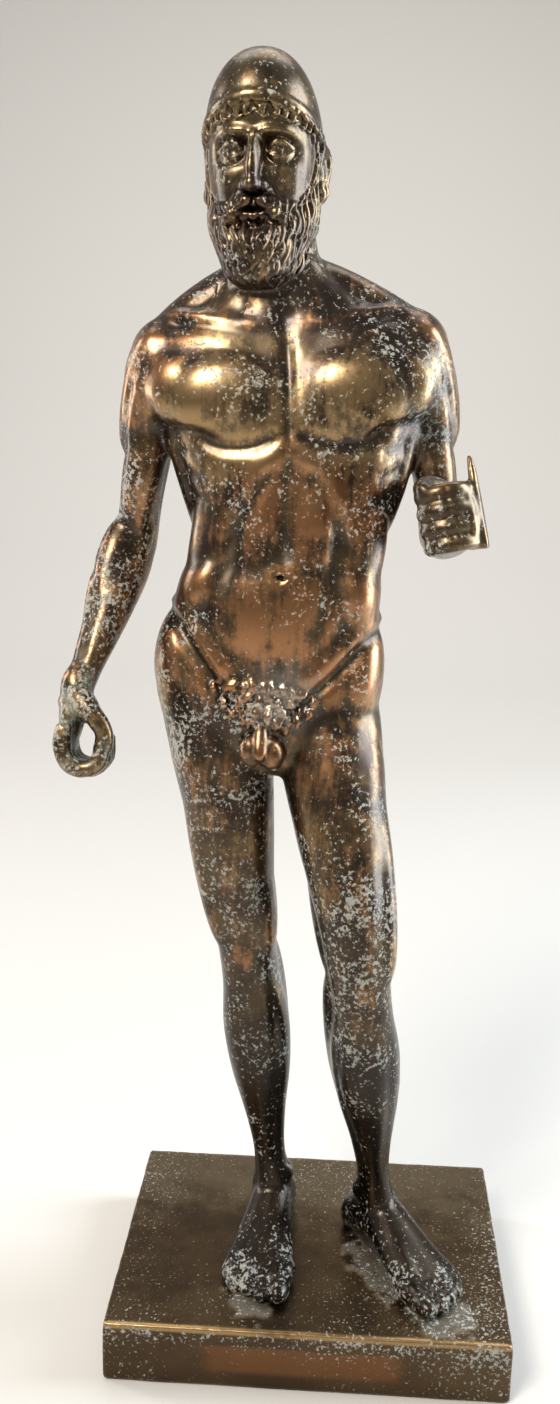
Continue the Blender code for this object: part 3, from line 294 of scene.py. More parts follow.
def column(rows, place=still, count=30, square=2.3):
    """A skin lofted up a vertical line. Each row is (height, half width, front, back)."""
    low, high = rows[0][0], rows[-1][0]

    def shape(share, angle):
        ring, pole = stations(share, count)
        z = high + (low - high) * ring
        half, front, back = smooth_rows(rows, z).T
        x, y = squared(angle, square)
        return np.stack((half * x * ~pole, np.where(y > 0, back, front) * y * ~pole, z), -1)

    add_mass(shape, place, rings=count + 1, around=32)


def trunk():
    """The trunk from the fork of the legs to the neck, upright and even; on_trunk poses it."""
    column(
        (
            (177, 20, 9, 13),
            (186, 31, 15, 20),
            (200, 36.5, 17.5, 22.5),
            (212, 37, 18.5, 21),
            (226, 34.5, 18.5, 16),
            (242, 31, 18, 13),
            (257, 29.5, 17.5, 13),
            (272, 33.5, 18.5, 16),
            (287, 37, 19.5, 19.5),
            (300, 39.5, 18, 21.5),
            (311, 40, 14.5, 21.5),
            (319, 37, 11.5, 20),
            (326, 27, 10, 17.5),
            (332, 17, 9, 15),
            (340, 12, 8, 13),
        ),
        place=on_trunk,
    )
    for side in (-1, 1):
        chest_and_back(side)
        belly_and_seat(side)
    muscle((0, -11, 318), (0, -16.5, 284), 3.5, 2.5, place=on_trunk)
    ball((0, 9.0, 322), (20, 9.5, 20), on_trunk)
    ball((0, -14, 232), (22, 6.8, 22), on_trunk)
    ball((0, -12, 199), (13, 7.5, 8), on_trunk)


def chest_and_back(side):
    muscle((side, -13.5, 292), (side * 44, -6, 304), 9, 6.5, belly=0.42, place=on_trunk, bend=2.5)
    muscle((side, -12.5, 301), (side * 45, -4, 308), 10, 6, belly=0.4, place=on_trunk, bend=2.5)
    muscle((side * 3, -9.5, 310), (side * 45, -2, 312), 9, 5.5, belly=0.45, place=on_trunk, bend=2)
    ball((side * 19, -11.5, 299), (19, 9.2, 14), on_trunk)
    ball((side * 33, -7, 302), (12, 9, 12), on_trunk)
    ball((side * 38, -4.5, 305), (9, 8, 10.5), on_trunk)
    muscle((side * 3, -9.5, 320), (side * 38, 0, 324), 2.5, 2.5, place=on_trunk, bend=2.5)
    trapezius = {"facing": (0, 0, 1), "belly": 0.42, "place": on_trunk}
    muscle((side * 4, 8, 339), (side * 45, 6, 317), 10, 6.5, **trapezius)
    ball((side * 13, 12, 319), (18, 9, 13), on_trunk, turn=(0, side * 18, 0))
    ball((side * 34, 6, 313), (15, 12, 9), on_trunk, turn=(0, side * 14, 0))
    lat = {"facing": (side, 0.5, 0), "belly": 0.3, "place": on_trunk}
    muscle((side * 36, 8, 314), (side * 23, 6, 246), 14, 8.5, **lat)
    ball((side * 21, 14.5, 303), (14, 8, 15), on_trunk, turn=(0, side * 12, 0))
    muscle((side * 8, 11, 308), (side * 9, 11.5, 216), 8.5, 5.5, facing=(0, 1, 0), place=on_trunk)
    ball((side * 14, 3, 258), (15.5, 11, 22), on_trunk)


def belly_and_seat(side):
    muscle((side * 8, -13.5, 288), (side * 7.5, -13.5, 232), 9, 5.6, place=on_trunk)
    ball((side * 8, -13.4, 262), (8.6, 5.0, 11), on_trunk)
    muscle((side * 6.5, -14, 250), (side * 4, -13, 205), 10, 4.6, belly=0.4, place=on_trunk)
    oblique = {"facing": (side * 0.6, -1, 0), "place": on_trunk}
    muscle((side * 23, -6, 278), (side * 21, -9, 220), 10.5, 6.6, **oblique)
    ball((side * 23, -3, 239), (9.6, 14, 15), on_trunk, turn=(0, -side * 12, 0))
    crest = {"facing": (side, -1, 0), "place": on_trunk}
    muscle((side * 34, 0, 233), (side * 14, -15, 206), 4, 3.8, **crest)
    ball((side * 28.5, 1, 212), (9.5, 15, 20), on_trunk)
    ball((side * 17.5, 8, 206), (19, 16.5, 21), on_trunk, turn=(0, side * 6, 0))


def leg(side):
    """A leg from hip to ankle."""
    hip, knee, ankle = HIPS[side], KNEES[side], ANKLES[side]
    front = np.array((0, -1, 0)) @ turned(z=FOOT_TURN[side] * 0.7)
    out = np.array((side, 0, 0))
    limb(
        (hip, knee, ankle),
        (
            (-0.10, 14, 12, 13, 13),
            (0.0, 18, 15, 16, 18),
            (0.22, 18, 16.5, 17.5, 18.5),
            (0.45, 15.5, 15, 16.5, 15.5),
            (0.70, 12.6, 12.4, 14, 12.5),
            (0.90, 10.2, 10.4, 11.4, 10.5),
            (1.0, 9.8, 10.0, 10.8, 10.2),
            (1.10, 9.8, 10, 9.6, 11.6),
            (1.27, 11.6, 11.8, 9, 15.6),
            (1.45, 10.8, 10.8, 8.4, 14),
            (1.66, 7.4, 7.2, 6.8, 9.0),
            (1.82, 5.8, 5.6, 6.2, 7.2),
            (1.92, 6.4, 6.2, 8.2, 7.8),
            (2.0, 7.2, 7.0, 9.5, 8.0),
            (2.06, 6, 6, 8, 7),
        ),
        front,
        outer=side,
        count=44,
    )

    def on_thigh(share, outward, forward):
        return hip + (knee - hip) * share + out * outward + front * forward

    def on_shin(share, outward, forward):
        return knee + (ankle - knee) * share + out * outward + front * forward

    muscle(on_thigh(0.02, 1, 8), on_thigh(0.93, 0, 6.5), 8, 9, front, belly=0.42)
    muscle(on_thigh(0.12, 10, 3), on_thigh(0.98, 6.5, 4.5), 6.5, 9, front, belly=0.5)
    muscle(on_thigh(0.45, -7, 5), on_thigh(1.0, -6.8, 4.6), 5.6, 6.2, front, belly=0.66)
    muscle(on_thigh(-0.02, -7, 2), on_thigh(0.7, -8, -2), 8, 11, front, belly=0.35)
    muscle(on_thigh(0.08, 2, -8), on_thigh(1.0, 4, -5.5), 8.5, 9.5, -front, belly=0.42)
    muscle(on_thigh(1.0, -7.5, -4), on_thigh(0.4, -5, -8), 5, 6.5, -front)
    ball(on_thigh(0.98, 0, 5.8), (7.2, 4.8, 8.6))
    muscle(on_shin(0.0, 0, 7.6), on_shin(0.2, 0, 6.4), 3.2, 3.2, front)
    muscle(on_shin(-0.06, -5.2, -6.5), on_shin(0.58, -4.2, -6.5), 6.4, 8, -front, belly=0.46)
    muscle(on_shin(-0.06, 5.2, -5.5), on_shin(0.52, 5.0, -5.5), 6, 8, -front, belly=0.46)
    muscle(on_shin(0.04, 4.2, 3), on_shin(0.8, 1.2, 3.2), 4.8, 5.2, front, belly=0.35)
    muscle(on_shin(0.3, 0, -5), on_shin(0.98, 0, -8.5), 3.8, 4.6, -front, belly=0.3)
    muscle(on_shin(0.08, -3.5, 4.2), on_shin(0.9, -1.5, 4.5), 2.2, 3.6, front, belly=0.3)
    ball(on_shin(0.97, 5.6, 0), (2.6, 3.2, 4))
    ball(on_shin(0.92, -5.8, 0.5), (2.6, 3.4, 4.2))
    foot(side)


def foot(side):
    """A bare foot, flat on the ground, from heel to toes."""
    turn = turned(z=FOOT_TURN[side])
    ankle = ANKLES[side] * (1, 1, 0)

    def on_foot(points):
        """Points (outward, forward, up) of the foot's own frame."""
        return ankle + np.array(points, float) * (side, -1, 1) @ turn

    rows = (
        (-15, 4.5, 4, 4),
        (-12, 7.4, 7, 7.5),
        (-6, 8.2, 7.8, 10.5),
        (3, 8.4, 8.0, 11.2),
        (12, 9.4, 8.8, 9.7),
        (22, 10.8, 10.2, 7.2),
        (32, 12, 11.6, 4.9),
        (38, 11.6, 11.8, 3.5),
        (42, 9, 10, 2.4),
    )

    def shape(share, angle):
        ring, pole = stations(share, 24)
        y = rows[0][0] + (rows[-1][0] - rows[0][0]) * ring
        outward, inward, up = smooth_rows(rows, y).T
        x, z = squared(angle, 2.2)
        arch = 2.6 * np.clip(-x, 0, None) * np.exp(-(((y - 12) / 9) ** 2)) * (z < 0)
        across = np.where(x > 0, outward, inward) * x * ~pole
        return np.stack((across, y, up * (1 + z * ~pole) + arch - 1.6), -1)

    add_mass(shape, on_foot, rings=25, around=24)
    instep = {"facing": (0, 0, 1), "place": on_foot}
    muscle((0, 8, 15), (-6.5, 36, 5.5), 2.2, 2.2, belly=0.5, **instep)
    ball((-8.5, 33, 4), (4.2, 6.5, 4.2), on_foot)
    ball((8.5, 28, 3.4), (4.4, 6, 3.8), on_foot)
    toes = ((-8.0, 48, 3.9), (-2.2, 47.5, 2.8), (2.6, 45, 2.7), (7.0, 41.5, 2.6), (10.8, 37, 2.6))
    for x, tip, radius in toes:
        muscle((x * 0.8, 30, 4.4), (x, tip - 4, radius + 0.8), radius, radius, **instep)
        ball((x, tip - radius * 1.5, radius * 0.9), (radius, radius * 1.6, radius), on_foot)


def arm(side):
    shoulder, elbow, wrist = SHOULDERS[side], ELBOWS[side], WRISTS[side]
    upper, fore = elbow - shoulder, wrist - elbow
    out = np.array((side, 0, 0))
    ahead, up = np.array((0, -1, 0)), np.array((0, 0, 1))
    palm_side = unit((side, -0.3, 0)) if side < 0 else unit((0.2, 0, 1))
    limb(
        (shoulder, elbow),
        (
            (-0.06, 7, 7, 8, 8),
            (0.06, 9.5, 9, 10, 10.5),
            (0.3, 9.0, 8.6, 9.6, 10),
            (0.6, 7.8, 7.6, 9.0, 9.4),
            (0.85, 7.4, 7.4, 7.4, 8.2),
            (1.04, 7.2, 7.4, 7.0, 7.4),
        ),
        ahead,
        outer=side,
        count=24,
    )
    limb(
        (elbow, wrist),
        (
            (-0.08, 7.0, 7.0, 6.6, 6.6),
            (0.06, 8.0, 8.0, 7.4, 7.6),
            (0.22, 8.8, 8.6, 8.0, 8.0),
            (0.38, 8.6, 8.4, 7.8, 7.6),
            (0.62, 7.2, 6.8, 6.6, 6.4),
            (0.85, 6.0, 5.6, 5.2, 5.0),
            (1.10, 5.8, 5.6, 4.8, 4.8),
        ),
        palm_side,
        outer=side,
        count=24,
    )
    ball(shoulder - out * 3.5 - up * 2, (13.5, 13.5, 13))
    ball(shoulder - out * 14 + ahead * 1 - up * 3, (12, 12, 12))
    ball(shoulder + out * 1 + ahead * 3 - up * 9, (10.5, 11.5, 15))
    deltoid = shoulder - out * 1.5 + up * 6
    muscle(deltoid, shoulder + upper * 0.58 + out * 4, 11, 9.5, out, belly=0.36)
    muscle(deltoid + ahead * 8, shoulder + upper * 0.52 + out * 3.5 + ahead * 3, 8.5, 8, ahead, 0.4)
    muscle(deltoid - ahead * 7, shoulder + upper * 0.5 + out * 3 - ahead * 3, 8.5, 7.5, -ahead, 0.4)
    biceps = shoulder + upper * 0.22 + ahead * 4
    muscle(biceps, shoulder + upper * 0.97 + ahead * 3.5, 6.8, 7.2, ahead, 0.52)
    muscle(shoulder + upper * 0.12 - ahead * 4, shoulder + upper * 0.94 - ahead * 4, 7.6, 7, -ahead, 0.42)
    bulge = elbow - upper * 0.14 + palm_side * 4
    muscle(bulge, elbow + fore * 0.66 + palm_side * 2.5, 6, 6.2, palm_side, 0.4)
    muscle(elbow - palm_side * 3, elbow + fore * 0.7 - palm_side * 1.5, 6, 6, -palm_side, 0.36)
    ball(elbow - ahead * 5 - up, (4.2, 3.6, 4.8))


def hand(side):
    """A closed hand. Its frame is (toward the palm, from the first finger to the last, toward the
    knuckles), from the wrist. The right hand keeps the round grip of a lost shaft."""
    wrist = WRISTS[side]
    open_grip = side < 0
    along = unit((0.02, -0.20, -1)) if open_grip else unit((-0.08, -0.97, 0.18))
    palm = np.array((1, 0, 0)) if open_grip else np.array((-1, -0.1, -0.20))
    palm = unit(palm - along * palm.dot(along))
    across = np.array((0, 1, 0)) if open_grip else np.array((0.2, 0, -1))
    across = unit(across - along * across.dot(along) - palm * across.dot(palm))
    curl = ((-2.4, 10), (-3.2, 16.5), (-1.2, 22), (3.8, 24), (8.4, 21.8), (9.4, 15.5))
    if not open_grip:
        curl = ((-2.2, 11), (-2, 16.5), (0.6, 20.2), (5.6, 20.8), (9.2, 18), (8.6, 12.5))

    def on_hand(points):
        return wrist + np.array(points, float) @ np.array((palm, across, along))

    def finger(path, radius):
        """A round finger along a path of (toward the palm, across, along) points."""
        shares = np.linspace(0, len(path) - 1, 7)
        taper = np.array((0.9, 1.04, 1.0, 1.04, 0.98, 0.98, 0.8))
        rows = [(t, *[radius * k] * 4) for t, k in zip(shares, taper)]
        limb(on_hand(path), rows, across, count=30)
        ball(on_hand((path[-1],))[0], [radius * 0.82] * 3)

    ball((0, 0, -1), (5.4, 6, 9), on_hand)
    ball((-1.6, 0, 7), (3.9, 7.8, 9.5), on_hand)
    ball((-2.5, 0, 14), (3, 9.2, 7), on_hand)
    radii = (2.85, 2.95, 2.85, 2.6) if open_grip else (2.6, 2.7, 2.6, 2.4)
    for i, radius in enumerate(radii):
        y = -7.2 + 4.75 * i
        finger([(x, y, z - 0.3 * abs(i - 1)) for x, z in curl], radius)
    if open_grip:
        muscle((0, -4.5, -2), (7.5, -7, 9), 4.2, 4.2, facing=(0, 1, 0), place=on_hand)
        finger(((3, -6.8, 2), (6.8, -7.8, 6.5), (9.8, -7.4, 11), (10.6, -6, 16.5)), 3.0)
        muscle((0, 1.5, -1), (11, 1.5, 16), 3.0, 7.0, facing=(0, 1, 0), place=on_hand)
    else:
        muscle((1, -6, 2), (6.5, -8.5, 10.5), 4.2, 4.2, facing=(0, 1, 0), place=on_hand)
        finger(((3, -9, 6), (6, -10.6, 10), (8.4, -10.2, 14.5), (8.6, -9, 19)), 3.0)
        ball((3.5, 0, 11), (6.5, 9, 8), on_hand)
        plate = on_hand(((-5.4, -17, 13.5), (-5.4, -5, 13), (-5.4, 9.5, 12.5)))
        rows = (
            (0.0, 0.6, 0.6, 0.7, 0.7),
            (0.3, 2.0, 2.0, 1.1, 1.1),
            (0.9, 4.2, 4.2, 1.3, 1.3),
            (1.6, 5.0, 5.0, 1.3, 1.3),
            (2.0, 4.4, 4.4, 1.2, 1.2),
        )
        limb(plate, rows, palm, count=24, square=2.6)


def neck():
    base, middle = on_trunk(((0, 6, 310), (0, 3.5, 331)))
    limb(
        (base, middle, HEAD_CENTRE + (0, 5, 0)),
        (
            (0.0, 18, 18, 12, 12),
            (0.6, 14.5, 14.5, 11, 12),
            (1.0, 12.8, 12.8, 11, 11.8),
            (1.4, 12.4, 12.4, 11, 12),
            (2.0, 12.5, 12.5, 11, 12.5),
        ),
        (0, -1, 0),
        count=16,
    )
    for side in (-1, 1):
        ear, notch = HEAD_CENTRE + (side * 13, 6, -9), on_trunk((side * 3, -9.5, 321))
        muscle(ear, notch, 3.8, 3.8, belly=0.55)


def head():
    """The bare head, before its face is carved: skull, jaw, nose and ears."""
    ball((0, 1.5, 12), (16.4, 18.6, 18), on_head)
    ball((0, 6, 0), (16.0, 15, 14), on_head)
    column(
        (
            (-24.0, 4, 15, 4),
            (-21.5, 8, 17.5, 6),
            (-17, 11.8, 17.6, 8),
            (-11, 14, 17.6, 10),
            (-5, 15.6, 17, 12),
            (1, 16.4, 16.6, 12),
            (7, 16.4, 16.6, 12),
            (12, 16.4, 17.6, 12),
            (19, 15.6, 17.8, 12),
            (26, 12, 14, 10),
        ),
        place=on_head,
        count=24,
        square=2.3,
    )
    muscle((0, -15.8, 13), (0, -21.4, -3.5), 2.4, 3.8, belly=0.62, place=on_head)
    ball((0, -21.6, -3.6), (2.5, 2.9, 2.3), on_head)
    for side in (-1, 1):
        ball((side * 2.9, -18.6, -3.8), (1.9, 2.6, 1.9), on_head)
        ear(side)


def ear(side):
    """A disc for the shell, and a tube for its rim from the root round to the lobe."""
    ball((side * 16.9, 3.6, 1.8), (1.4, 4.0, 6.2), on_head, turn=(-8, 0, side * 12))
    rim = (
        (16.6, 0.6, 1),
        (17.2, -0.4, 5),
        (18.0, 2.2, 8),
        (18.8, 6.0, 7),
        (18.8, 7.2, 3),
        (18.2, 6, -1.4),
        (17.2, 3, -5),
    )
    rim = on_head(np.array(rim) * (side, 1, 1))
    limb(rim, [(t, 1.15, 1.15, 1.15, 1.15) for t in range(7)], (0.3 * side, 1, 0.2), outer=side, count=40)
    ball((side * 17.2, 2.2, -4.6), (1.4, 1.9, 2.2), on_head)


def beard():
    column(
        (
            (-32, 7.0, 16, 1),
            (-29, 10.0, 19.5, 2),
            (-24, 12.4, 20.2, 3),
            (-19, 14.2, 20.5, 4),
            (-15, 16.0, 18, 5),
            (-10.5, 16.4, 14, 6),
            (-5, 16.6, 9, 6),
            (2, 16.8, 5, 6),
            (9, 16, 3, 6),
        ),
        place=on_head,
        count=26,
    )
    for side in (-1, 1):
        muscle((side * 0.8, -18.6, -7.4), (side * 9.5, -15.5, -14), 1.4, 1.5, place=on_head, bend=1.0)


def rim_height(backward):
    """Height of the helmet's lower edge: high in front, at -1, and low behind, at 1."""
    return 8.0 - 11.0 * backward


def helmet():
    """A plain round helmet with a low rim."""

    def shape(share, angle):
        x, y = np.cos(angle), np.sin(angle)
        rim = rim_height(y)
        dome = share < 0.7
        climb = np.where(dome, share / 0.7, 1) * math.pi / 2
        rise = (HELMET_TOP - rim) * np.where(dome, np.cos(climb), 0)
        ring = np.where(dome, np.sin(climb) ** 0.94, 1 - (share - 0.7) / 0.3)
        band = np.clip((RIM_BAND - rise) / 0.8, 0, 1) * RIM_PROUD * dome
        return np.stack(((18.0 * ring + band) * x, 1.5 + (20.9 * ring + band) * y, rim + rise), -1)

    add_mass(shape, on_head, rings=90, around=72)


def genitals():
    """Small and plain, as on the classical nudes."""
    for side in (-1, 1):
        ball((side * 3.0, -18.5, 187.5), (4.4, 4.6, 5.6), on_trunk)
    muscle((0, -17, 198), (-0.5, -24.5, 186), 2.6, 2.7, facing=(0, -1, 1), place=on_trunk)


def rows_of(items, name, size=3):
    data = np.empty(len(items) * size)
    items.foreach_get(name, data)
    return data.reshape(-1, size)


def stroke(points, width, depth, place=still, mirror=False):
    """Notes one stroke of the modelling tool. A depth above zero raises a ridge."""
    for side in (-1, 1) if mirror else (1,):
        strokes.append((place(np.array(points, float) * (side, 1, 1)), width, depth))


def resampled(points, spacing):
    """A polyline's points, evenly spaced."""
    legs = np.linalg.norm(np.diff(points, axis=0), axis=1)
    along = np.concatenate(([0], np.cumsum(legs)))
    count = max(2, int(along[-1] / spacing) + 1)
    keys = np.linspace(0, along[-1], count)
    if len(points) > 2:
        return smooth_rows(np.column_stack((along, points)), keys)
    return np.stack([np.interp(keys, along, points[:, i]) for i in range(3)], -1)


def carve(obj):
    """Draws the noted strokes into the skin along its normals, each fading out at its ends."""
    mesh = obj.data
    tree = BVHTree.FromPolygons([v.co for v in mesh.vertices], [p.vertices for p in mesh.polygons])
    places, normals = rows_of(mesh.vertices, "co") / PART, rows_of(mesh.vertices, "normal")
    moved = places.copy()
    for points, width, depth in strokes:
        if len(points) > 1:
            points = resampled(points, max(0.4, width * 0.4))
        hits = [tree.find_nearest(Vector(point * PART)) for point in points]
        points = np.array([hit[0] for hit in hits]) / PART
        facing = np.array([hit[1] for hit in hits])
        low, high = points.min(0) - 2.5 * width, points.max(0) + 2.5 * width
        near = np.flatnonzero(((places > low) & (places < high)).all(1))
        gaps = np.linalg.norm(places[near, None] - points[None], axis=2)
        best = gaps.argmin(1)
        gap = gaps[np.arange(len(near)), best]
        share = best / max(1, len(points) - 1)
        fade = 1.0 if len(points) == 1 else np.clip(np.minimum(share, 1 - share) * 5 + 0.25, 0, 1)
        agree = np.clip((normals[near] * facing[best]).sum(1) * 2, 0, 1)
        push = depth * np.exp(-((gap / width) ** 2)) * fade * agree
        moved[near] += normals[near] * push[:, None]
    mesh.vertices.foreach_set("co", (moved * PART).ravel())
    strokes.clear()
    mesh.update()


def trunk_strokes():
    for points, width, depth in (
        (((2, -19, 288), (12, -21, 284), (24, -19, 284), (33, -14, 288)), 2.6, -1.9),
        (((4, -10, 320), (15, -11, 320), (28, -7, 323), (38, -1, 325)), 2.4, 0.6),
        (((10, -6, 325), (22, -3, 328)), 5.0, -0.7),
        (((1.5, -19, 281), (9, -20, 277), (16, -18.5, 268), (21, -16, 259), (24, -13, 252)), 3.2, 0.6),
        (((2, -19, 277), (8, -20, 273), (14, -19, 264), (18, -17, 255), (21, -14, 248)), 2.6, -0.7),
        (((16, -18, 262), (16.5, -18, 248), (15, -18, 234), (12, -17, 222)), 3.0, -0.8),
        (((34, -2, 228), (27, -9, 222), (20, -14, 213), (12, -15.5, 204), (6, -14, 198)), 2.3, -1.9),
        (((33, -3, 233), (27, -11, 228), (19, -16, 219), (11, -17, 209)), 3.2, 0.9),
        (((3, -20, 256), (14, -19, 255)), 3.0, -0.3),
        (((36, -4, 284), (28, -14, 281)), 2.4, -0.5),
        (((35, -4, 277), (27, -14, 273)), 2.4, -0.5),
        (((34, -4, 270), (26, -13, 265)), 2.4, -0.4),
        (((21.5, -21, 292.5),), 2.6, 0.25),
        (((21.5, -21, 292.5),), 1.0, 0.8),
        (((12, 24, 320), (10, 24, 303), (14, 22, 289)), 3.0, -1.0),
        (((14, 24, 288), (24, 22, 284), (35, 15, 290)), 3.0, -0.9),
        (((12, 20, 326), (26, 20, 318), (40, 14, 318)), 2.6, 0.6),
        (((34, 10, 282), (28, 14, 262), (17, 16, 243), (9, 16, 228)), 3.0, -0.8),
        (((8.5, 17, 226),), 2.6, -0.9),
        (((4, 20, 186), (14, 24, 185), (26, 17, 189)), 2.6, -1.6),
    ):
        stroke(points, width, depth, on_trunk, mirror=True)
    for points, width, depth in (
        (((0, -14, 319), (0, -19, 302), (0, -20, 286)), 2.2, -1.5),
        (((0, -20, 284), (0, -20, 248)), 2.4, -1.1),
        (((0, -20, 240), (0, -19, 220)), 1.8, -0.5),
        (((0, -20, 244),), 3.4, 0.5),
        (((0, -20, 245), (0, -20, 243)), 1.5, -2.4),
        (((0, 22, 335), (0, 21, 310), (0, 16, 270), (0, 14, 245), (0, 17, 224)), 3.2, -1.2),
        (((0, 20, 219), (0, 25, 205), (0, 22, 192), (0, 14, 183)), 2.4, -3.4),
    ):
        stroke(points, width, depth, on_trunk)
    stroke((on_trunk((0, -11, 322)),), 3.2, -1.3)


def bone_strokes(start, end, outward, forward, marks):
    """Strokes beside a bone. A mark is (points, width, depth), and each of its points is (share of
    the bone, outward, forward)."""
    for points, width, depth in marks:
        places = [start + (end - start) * t + outward * x + forward * y for t, x, y in points]
        stroke(places, width, depth)


def limb_strokes(side):
    hip, knee, ankle = HIPS[side], KNEES[side], ANKLES[side]
    front = np.array((0, -1, 0)) @ turned(z=FOOT_TURN[side] * 0.7)
    outward = np.array((side, 0, 0))
    thigh = (
        (((0.0, 13, 12), (0.25, 3, 18), (0.5, -7, 15)), 3.4, -0.4),
        (((0.5, -5, 17), (0.75, -4.5, 14), (0.9, -4, 12)), 3.0, -0.35),
        (((0.5, 7, 16), (0.75, 6.5, 13), (0.92, 5, 11)), 3.0, -0.4),
        (((0.22, 0, -20), (0.7, 0, -14), (0.98, 0, -11)), 2.6, -0.8),
        (((0.93, -7, 9), (1.02, -6, 10), (1.07, 0, 11), (1.02, 6, 10), (0.93, 7, 9)), 2.6, -0.4),
        (((0.94, -4, 12), (0.92, 0, 13), (0.94, 4, 12)), 2.4, -0.3),
    )
    shin = (
        (((0.06, 0, -14), (0.42, 0, -16)), 2.2, -0.7),
        (((0.42, -9, -7), (0.6, 0, -13), (0.42, 9, -7)), 2.2, -0.7),
        (((0.12, -7, 6), (0.5, -5.5, 5.5), (0.9, -4, 5)), 2.2, -0.8),
        (((0.1, 4, 8), (0.5, 3, 7.5), (0.85, 2, 6)), 1.8, -0.5),
        (((0.7, 5, -5), (0.96, 5, -5)), 2.4, -1.0),
        (((0.7, -5, -5), (0.96, -5, -5)), 2.4, -1.0),
    )
    bone_strokes(hip, knee, outward, front, thigh)
    bone_strokes(knee, ankle, outward, front, shin)
    shoulder, elbow, wrist = SHOULDERS[side], ELBOWS[side], WRISTS[side]
    ahead = np.array((0, -1, 0))
    upper_arm = (
        (((0.1, 6, 12), (0.35, 9, 10), (0.58, 10, 2)), 2.0, -0.9),
        (((0.58, 10, 1), (0.4, 10, -8), (0.2, 5, -12)), 2.0, -0.8),
        (((0.5, 9, 2), (0.95, 8, 1)), 2.2, -1.0),
        (((0.25, -9, 1), (0.9, -8, 0)), 2.2, -1.0),
        (((0.5, 1, -11), (0.85, 1, -10)), 2.6, -0.5),
    )
    forearm = (
        (((0.02, 6, 4), (0.5, 4, 6), (0.85, 1, 5)), 1.9, -0.7),
        (((0.05, 7, -5), (0.7, 5, -5)), 2.2, -0.6),
    )
    bone_strokes(shoulder, elbow, outward, ahead, upper_arm)
    bone_strokes(elbow, wrist, outward, ahead, forearm)


def hill(value, middle, spread, power=2):
    return np.exp(-np.abs((value - middle) / spread) ** power)


def face_relief(x, z):
    """How far the carved face stands out in front of the smooth head, at points across and up from
    its middle. Calm and level, on thirds of 16.5 parts and fifths of an eye's width."""
    x = np.abs(x)
    across, up = (x - 7.2) / 3.8, z - 6.0
    upper, lower = 1.7 * (1 - across**2), -1.15 * (1 - across**2)
    lidded = hill(across, 0, 1.12, 6)
    brow_line = 5.2 - 0.035 * (x - 6) ** 2
    relief = -2.6 * hill(x, 7.0, 5.0, 3) * hill(up, 0.3, 3.6, 3)
    relief += -1.0 * hill(x, 3.2, 1.5) * hill(up, 0.8, 2.6)
    relief += 1.6 * hill(up, brow_line, 1.7) * hill(x, 6.5, 6.5, 4)
    relief += 2.2 * np.clip(1 - across**2 * 0.85 - (up / 3.7) ** 2, 0, 1) ** 0.8
    relief += 0.62 * lidded * np.clip((up - upper + 0.1) / 0.25, 0, 1) * hill(up, upper + 0.5, 0.9)
    relief += 0.50 * lidded * np.clip((lower - up + 0.1) / 0.25, 0, 1) * hill(up, lower - 0.4, 0.75)
    relief += -0.45 * lidded * hill(up, upper + 1.9, 0.45)
    relief += 0.9 * hill(x, 10.2, 3.6) * hill(z, -0.6, 2.8)
    relief += -0.9 * hill(x, 5.2 + (-3 - z) * 0.45, 1.0) * hill(z, -4.5, 3.0)
    relief += -0.8 * hill(x, 0, 2.2) * hill(z, 9.6, 1.6)
    relief += 0.9 * hill(z, -7.6, 1.2) * hill(x, 0, 3.6, 4)
    relief += 1.1 * hill(z, -9.3 + 0.25 * hill(x, 0, 1.2), 0.75) * hill(x, 0, 4.2, 4)
    relief += 1.4 * hill(z, -11.6, 0.95) * hill(x, 0, 3.7, 4)
    relief += -0.9 * hill(z, -10.45, 0.38) * hill(x, 0, 4.6, 4)
    relief += -0.8 * hill(z, -13.8, 1.0) * hill(x, 0, 4.0, 4)
    relief += -0.9 * hill(x, 1.4, 0.75) * hill(z, -5.6, 0.8)
    return relief


def carve_face(obj):
    """Moves the points of the head's front out and in by the relief of the face."""
    mesh = obj.data
    places, normals = rows_of(mesh.vertices, "co") / PART, rows_of(mesh.vertices, "normal")
    spin = turned(*HEAD_TURN)
    local = (places - HEAD_CENTRE) @ np.linalg.inv(spin)
    forward = -(normals @ np.linalg.inv(spin))[:, 1]
    near = (np.abs(local[:, 0]) < 16) & (np.abs(local[:, 2]) < 20) & (local[:, 1] < -4) & (forward > 0)
    relief = face_relief(local[:, 0], local[:, 2]) * np.clip(forward * 2.5, 0, 1) * near
    mesh.vertices.foreach_set("co", ((places + relief[:, None] * ((0, -1, 0) @ spin)) * PART).ravel())
    mesh.update()


def lock_relief(places, locks):
    """Height of carved locks at points (round the head, up). A lock is (path, width, height)."""
    height = np.zeros(len(places))
    for path, width, rise in locks:
        path = np.array(path, float)
        knots = np.linspace(0, 1, len(path))
        curve = smooth_rows(np.column_stack((knots, path)), np.linspace(0, 1, LOCK_STEPS))
        low, high = curve.min(0) - width, curve.max(0) + width
        near = np.flatnonzero(((places > low) & (places < high)).all(1))
        gaps = np.linalg.norm(places[near, None] - curve[None], axis=2)
        best = gaps.argmin(1)
        share = best / (LOCK_STEPS - 1)
        half = width * np.clip(1.15 - share**2.2, 0.25, 1) * np.clip(0.5 + 3 * share, 0.5, 1)
        ridge = np.clip(1 - (gaps[np.arange(len(near)), best] / half) ** 2, 0, None) ** 0.6
        height[near] = np.maximum(height[near], rise * ridge * (0.75 + 0.25 * np.sin(math.pi * share)))
    return height


